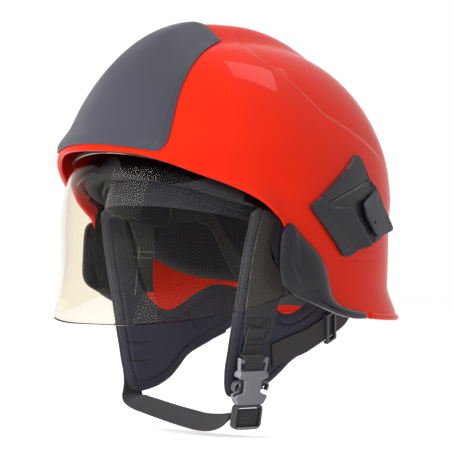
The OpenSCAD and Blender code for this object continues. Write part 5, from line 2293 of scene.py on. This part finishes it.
@dataclass(frozen=True)
class SoftLamp:
    """A square soft lamp aimed at the helmet: place and side in metres, power in watts.

    Only a small lamp is mirrored in gloss; a large one would show as a square.
    """

    name: str
    at: tuple[float, float, float]
    size: float
    power: float
    mirrored: bool = False

    def build(self) -> None:
        """Makes the lamp."""
        data = bpy.data.lights.new(self.name, "AREA")
        data.size, data.energy = self.size, self.power
        lamp = bpy.data.objects.new(self.name, data)
        lamp.visible_glossy = self.mirrored
        turn = Vector(self.at).to_track_quat("Z", "Y").to_matrix().to_4x4()
        lamp.matrix_world = Matrix.Translation(self.at) @ turn
        bpy.context.collection.objects.link(lamp)


@dataclass
class Studio:
    """Pale floor, three soft lamps and an even world; white wherever it is seen directly."""

    floor_z: float = -0.1865
    floor_r: float = 3.0
    world: float = 0.31
    floor_glow: float = 0.62
    lamps: tuple = (SoftLamp("key", (-0.25, -2.75, 1.45), 2.4, 122.0),
                    SoftLamp("fill", (2.6, -1.6, 0.6), 2.0, 10.0),
                    SoftLamp("rear", (0.4, 1.6, 2.4), 0.8, 7.0, True))

    def white(self, tree: Tree) -> Socket:
        """1 for camera, glossy and transmission rays, else 0.

        Args:
            tree: the world's tree.

        Returns:
            The value.
        """
        path = add(tree, "ShaderNodeLightPath")
        first = add(tree, "ShaderNodeMath", {"operation": "MAXIMUM"},
                    links={0: path.outputs["Is Camera Ray"], 1: path.outputs["Is Glossy Ray"]})
        either = add(tree, "ShaderNodeMath", {"operation": "MAXIMUM"},
                     links={0: first.outputs[0], 1: path.outputs["Is Transmission Ray"]})
        return either.outputs[0]

    def sky(self) -> None:
        """World: white to the camera and in reflections, a plain grey light otherwise."""
        world = bpy.data.worlds.new("studio")
        world.use_nodes = True
        tree = world.node_tree
        tree.nodes.clear()
        seen = self.white(tree)
        back = add(tree, "ShaderNodeBackground", values={"Color": (1, 1, 1, 1)},
                   links={"Strength": spread(tree, seen, self.world, 1.0)})
        add(tree, "ShaderNodeOutputWorld", links={"Surface": back.outputs[0]})
        bpy.context.scene.world = world

    def floor(self) -> None:
        """Pale matt floor: a round sheet that shows white and still takes the shadow."""
        a = np.linspace(0, 2 * np.pi, 64, endpoint=False)
        pts = xyz(self.floor_r * np.cos(a), self.floor_r * np.sin(a), 0 * a + self.floor_z) / MM
        obj = make_mesh("floor", pts, [np.arange(64)[None]])
        mat, tree = begin("floor_pale_matt")
        seen = self.white(tree)
        matt = add(tree, "ShaderNodeBsdfDiffuse", values={"Color": tone("#E9E9E9")})
        share = add(tree, "ShaderNodeMath", {"operation": "MULTIPLY"}, {1: self.floor_glow}, {0: seen})
        glow = add(tree, "ShaderNodeEmission", values={"Color": (1, 1, 1, 1)},
                   links={"Strength": share.outputs[0]})
        end(tree, add(tree, "ShaderNodeAddShader", links={0: matt.outputs[0], 1: glow.outputs[0]}))
        obj.data.materials.append(mat)

    def build(self) -> None:
        """Makes world, floor and lamps."""
        bpy.context.scene.view_settings.view_transform = "Standard"
        self.sky()
        self.floor()
        for lamp in self.lamps:
            lamp.build()


def write_points() -> None:
    """Finds, by finished vertices, where each image point's pieces show in the frame; the places are not
    written or kept.
    """
    graph = bpy.context.evaluated_depsgraph_get()
    turn = np.array(CAMERA.matrix().inverted())
    focal = max(CAMERA.width, CAMERA.height) * CAMERA.lens / CAMERA.sensor
    shown: dict[str, Array] = {}
    for obj in bpy.context.scene.objects:
        if obj.type != "MESH" or obj.hide_render or obj.name == "floor":
            continue
        mesh = obj.evaluated_get(graph).to_mesh()
        local = vertices(mesh) @ turn[:3, :3].T + turn[:3, 3]
        obj.evaluated_get(graph).to_mesh_clear()
        flat = focal * local[:, :2] / -local[:, 2:]
        shown[obj.name.removesuffix(".001")] = [CAMERA.width / 2, CAMERA.height / 2] + flat * [1, -1]
    for name, point in POINTS.items():
        flat = np.concatenate([shown[piece] for piece in (point.pieces or tuple(shown))])
        if point.reach is Reach.MIDDLE:
            at = (flat.min(0) + flat.max(0)) / 2
        else:
            at = flat[(flat @ np.array(point.reach.value)).argmax()]


def main() -> None:
    """Builds the studio and the helmet, piece group by piece group."""
    logging.basicConfig(level=logging.INFO, format="%(message)s")
    CAMERA.build()
    Studio().build()
    groups = (Shell(), SideFittings(), FaceVisor(), EyeShield(), HeadLining(), HeadBand(), Harness(),
              ChinStrap(), SideBuckle(), SewnLines())
    for group in groups:
        log.info("building %s", type(group).__name__)
        group.build()
    dress_kept()
    write_points()


if __name__ == "__main__":
    main()
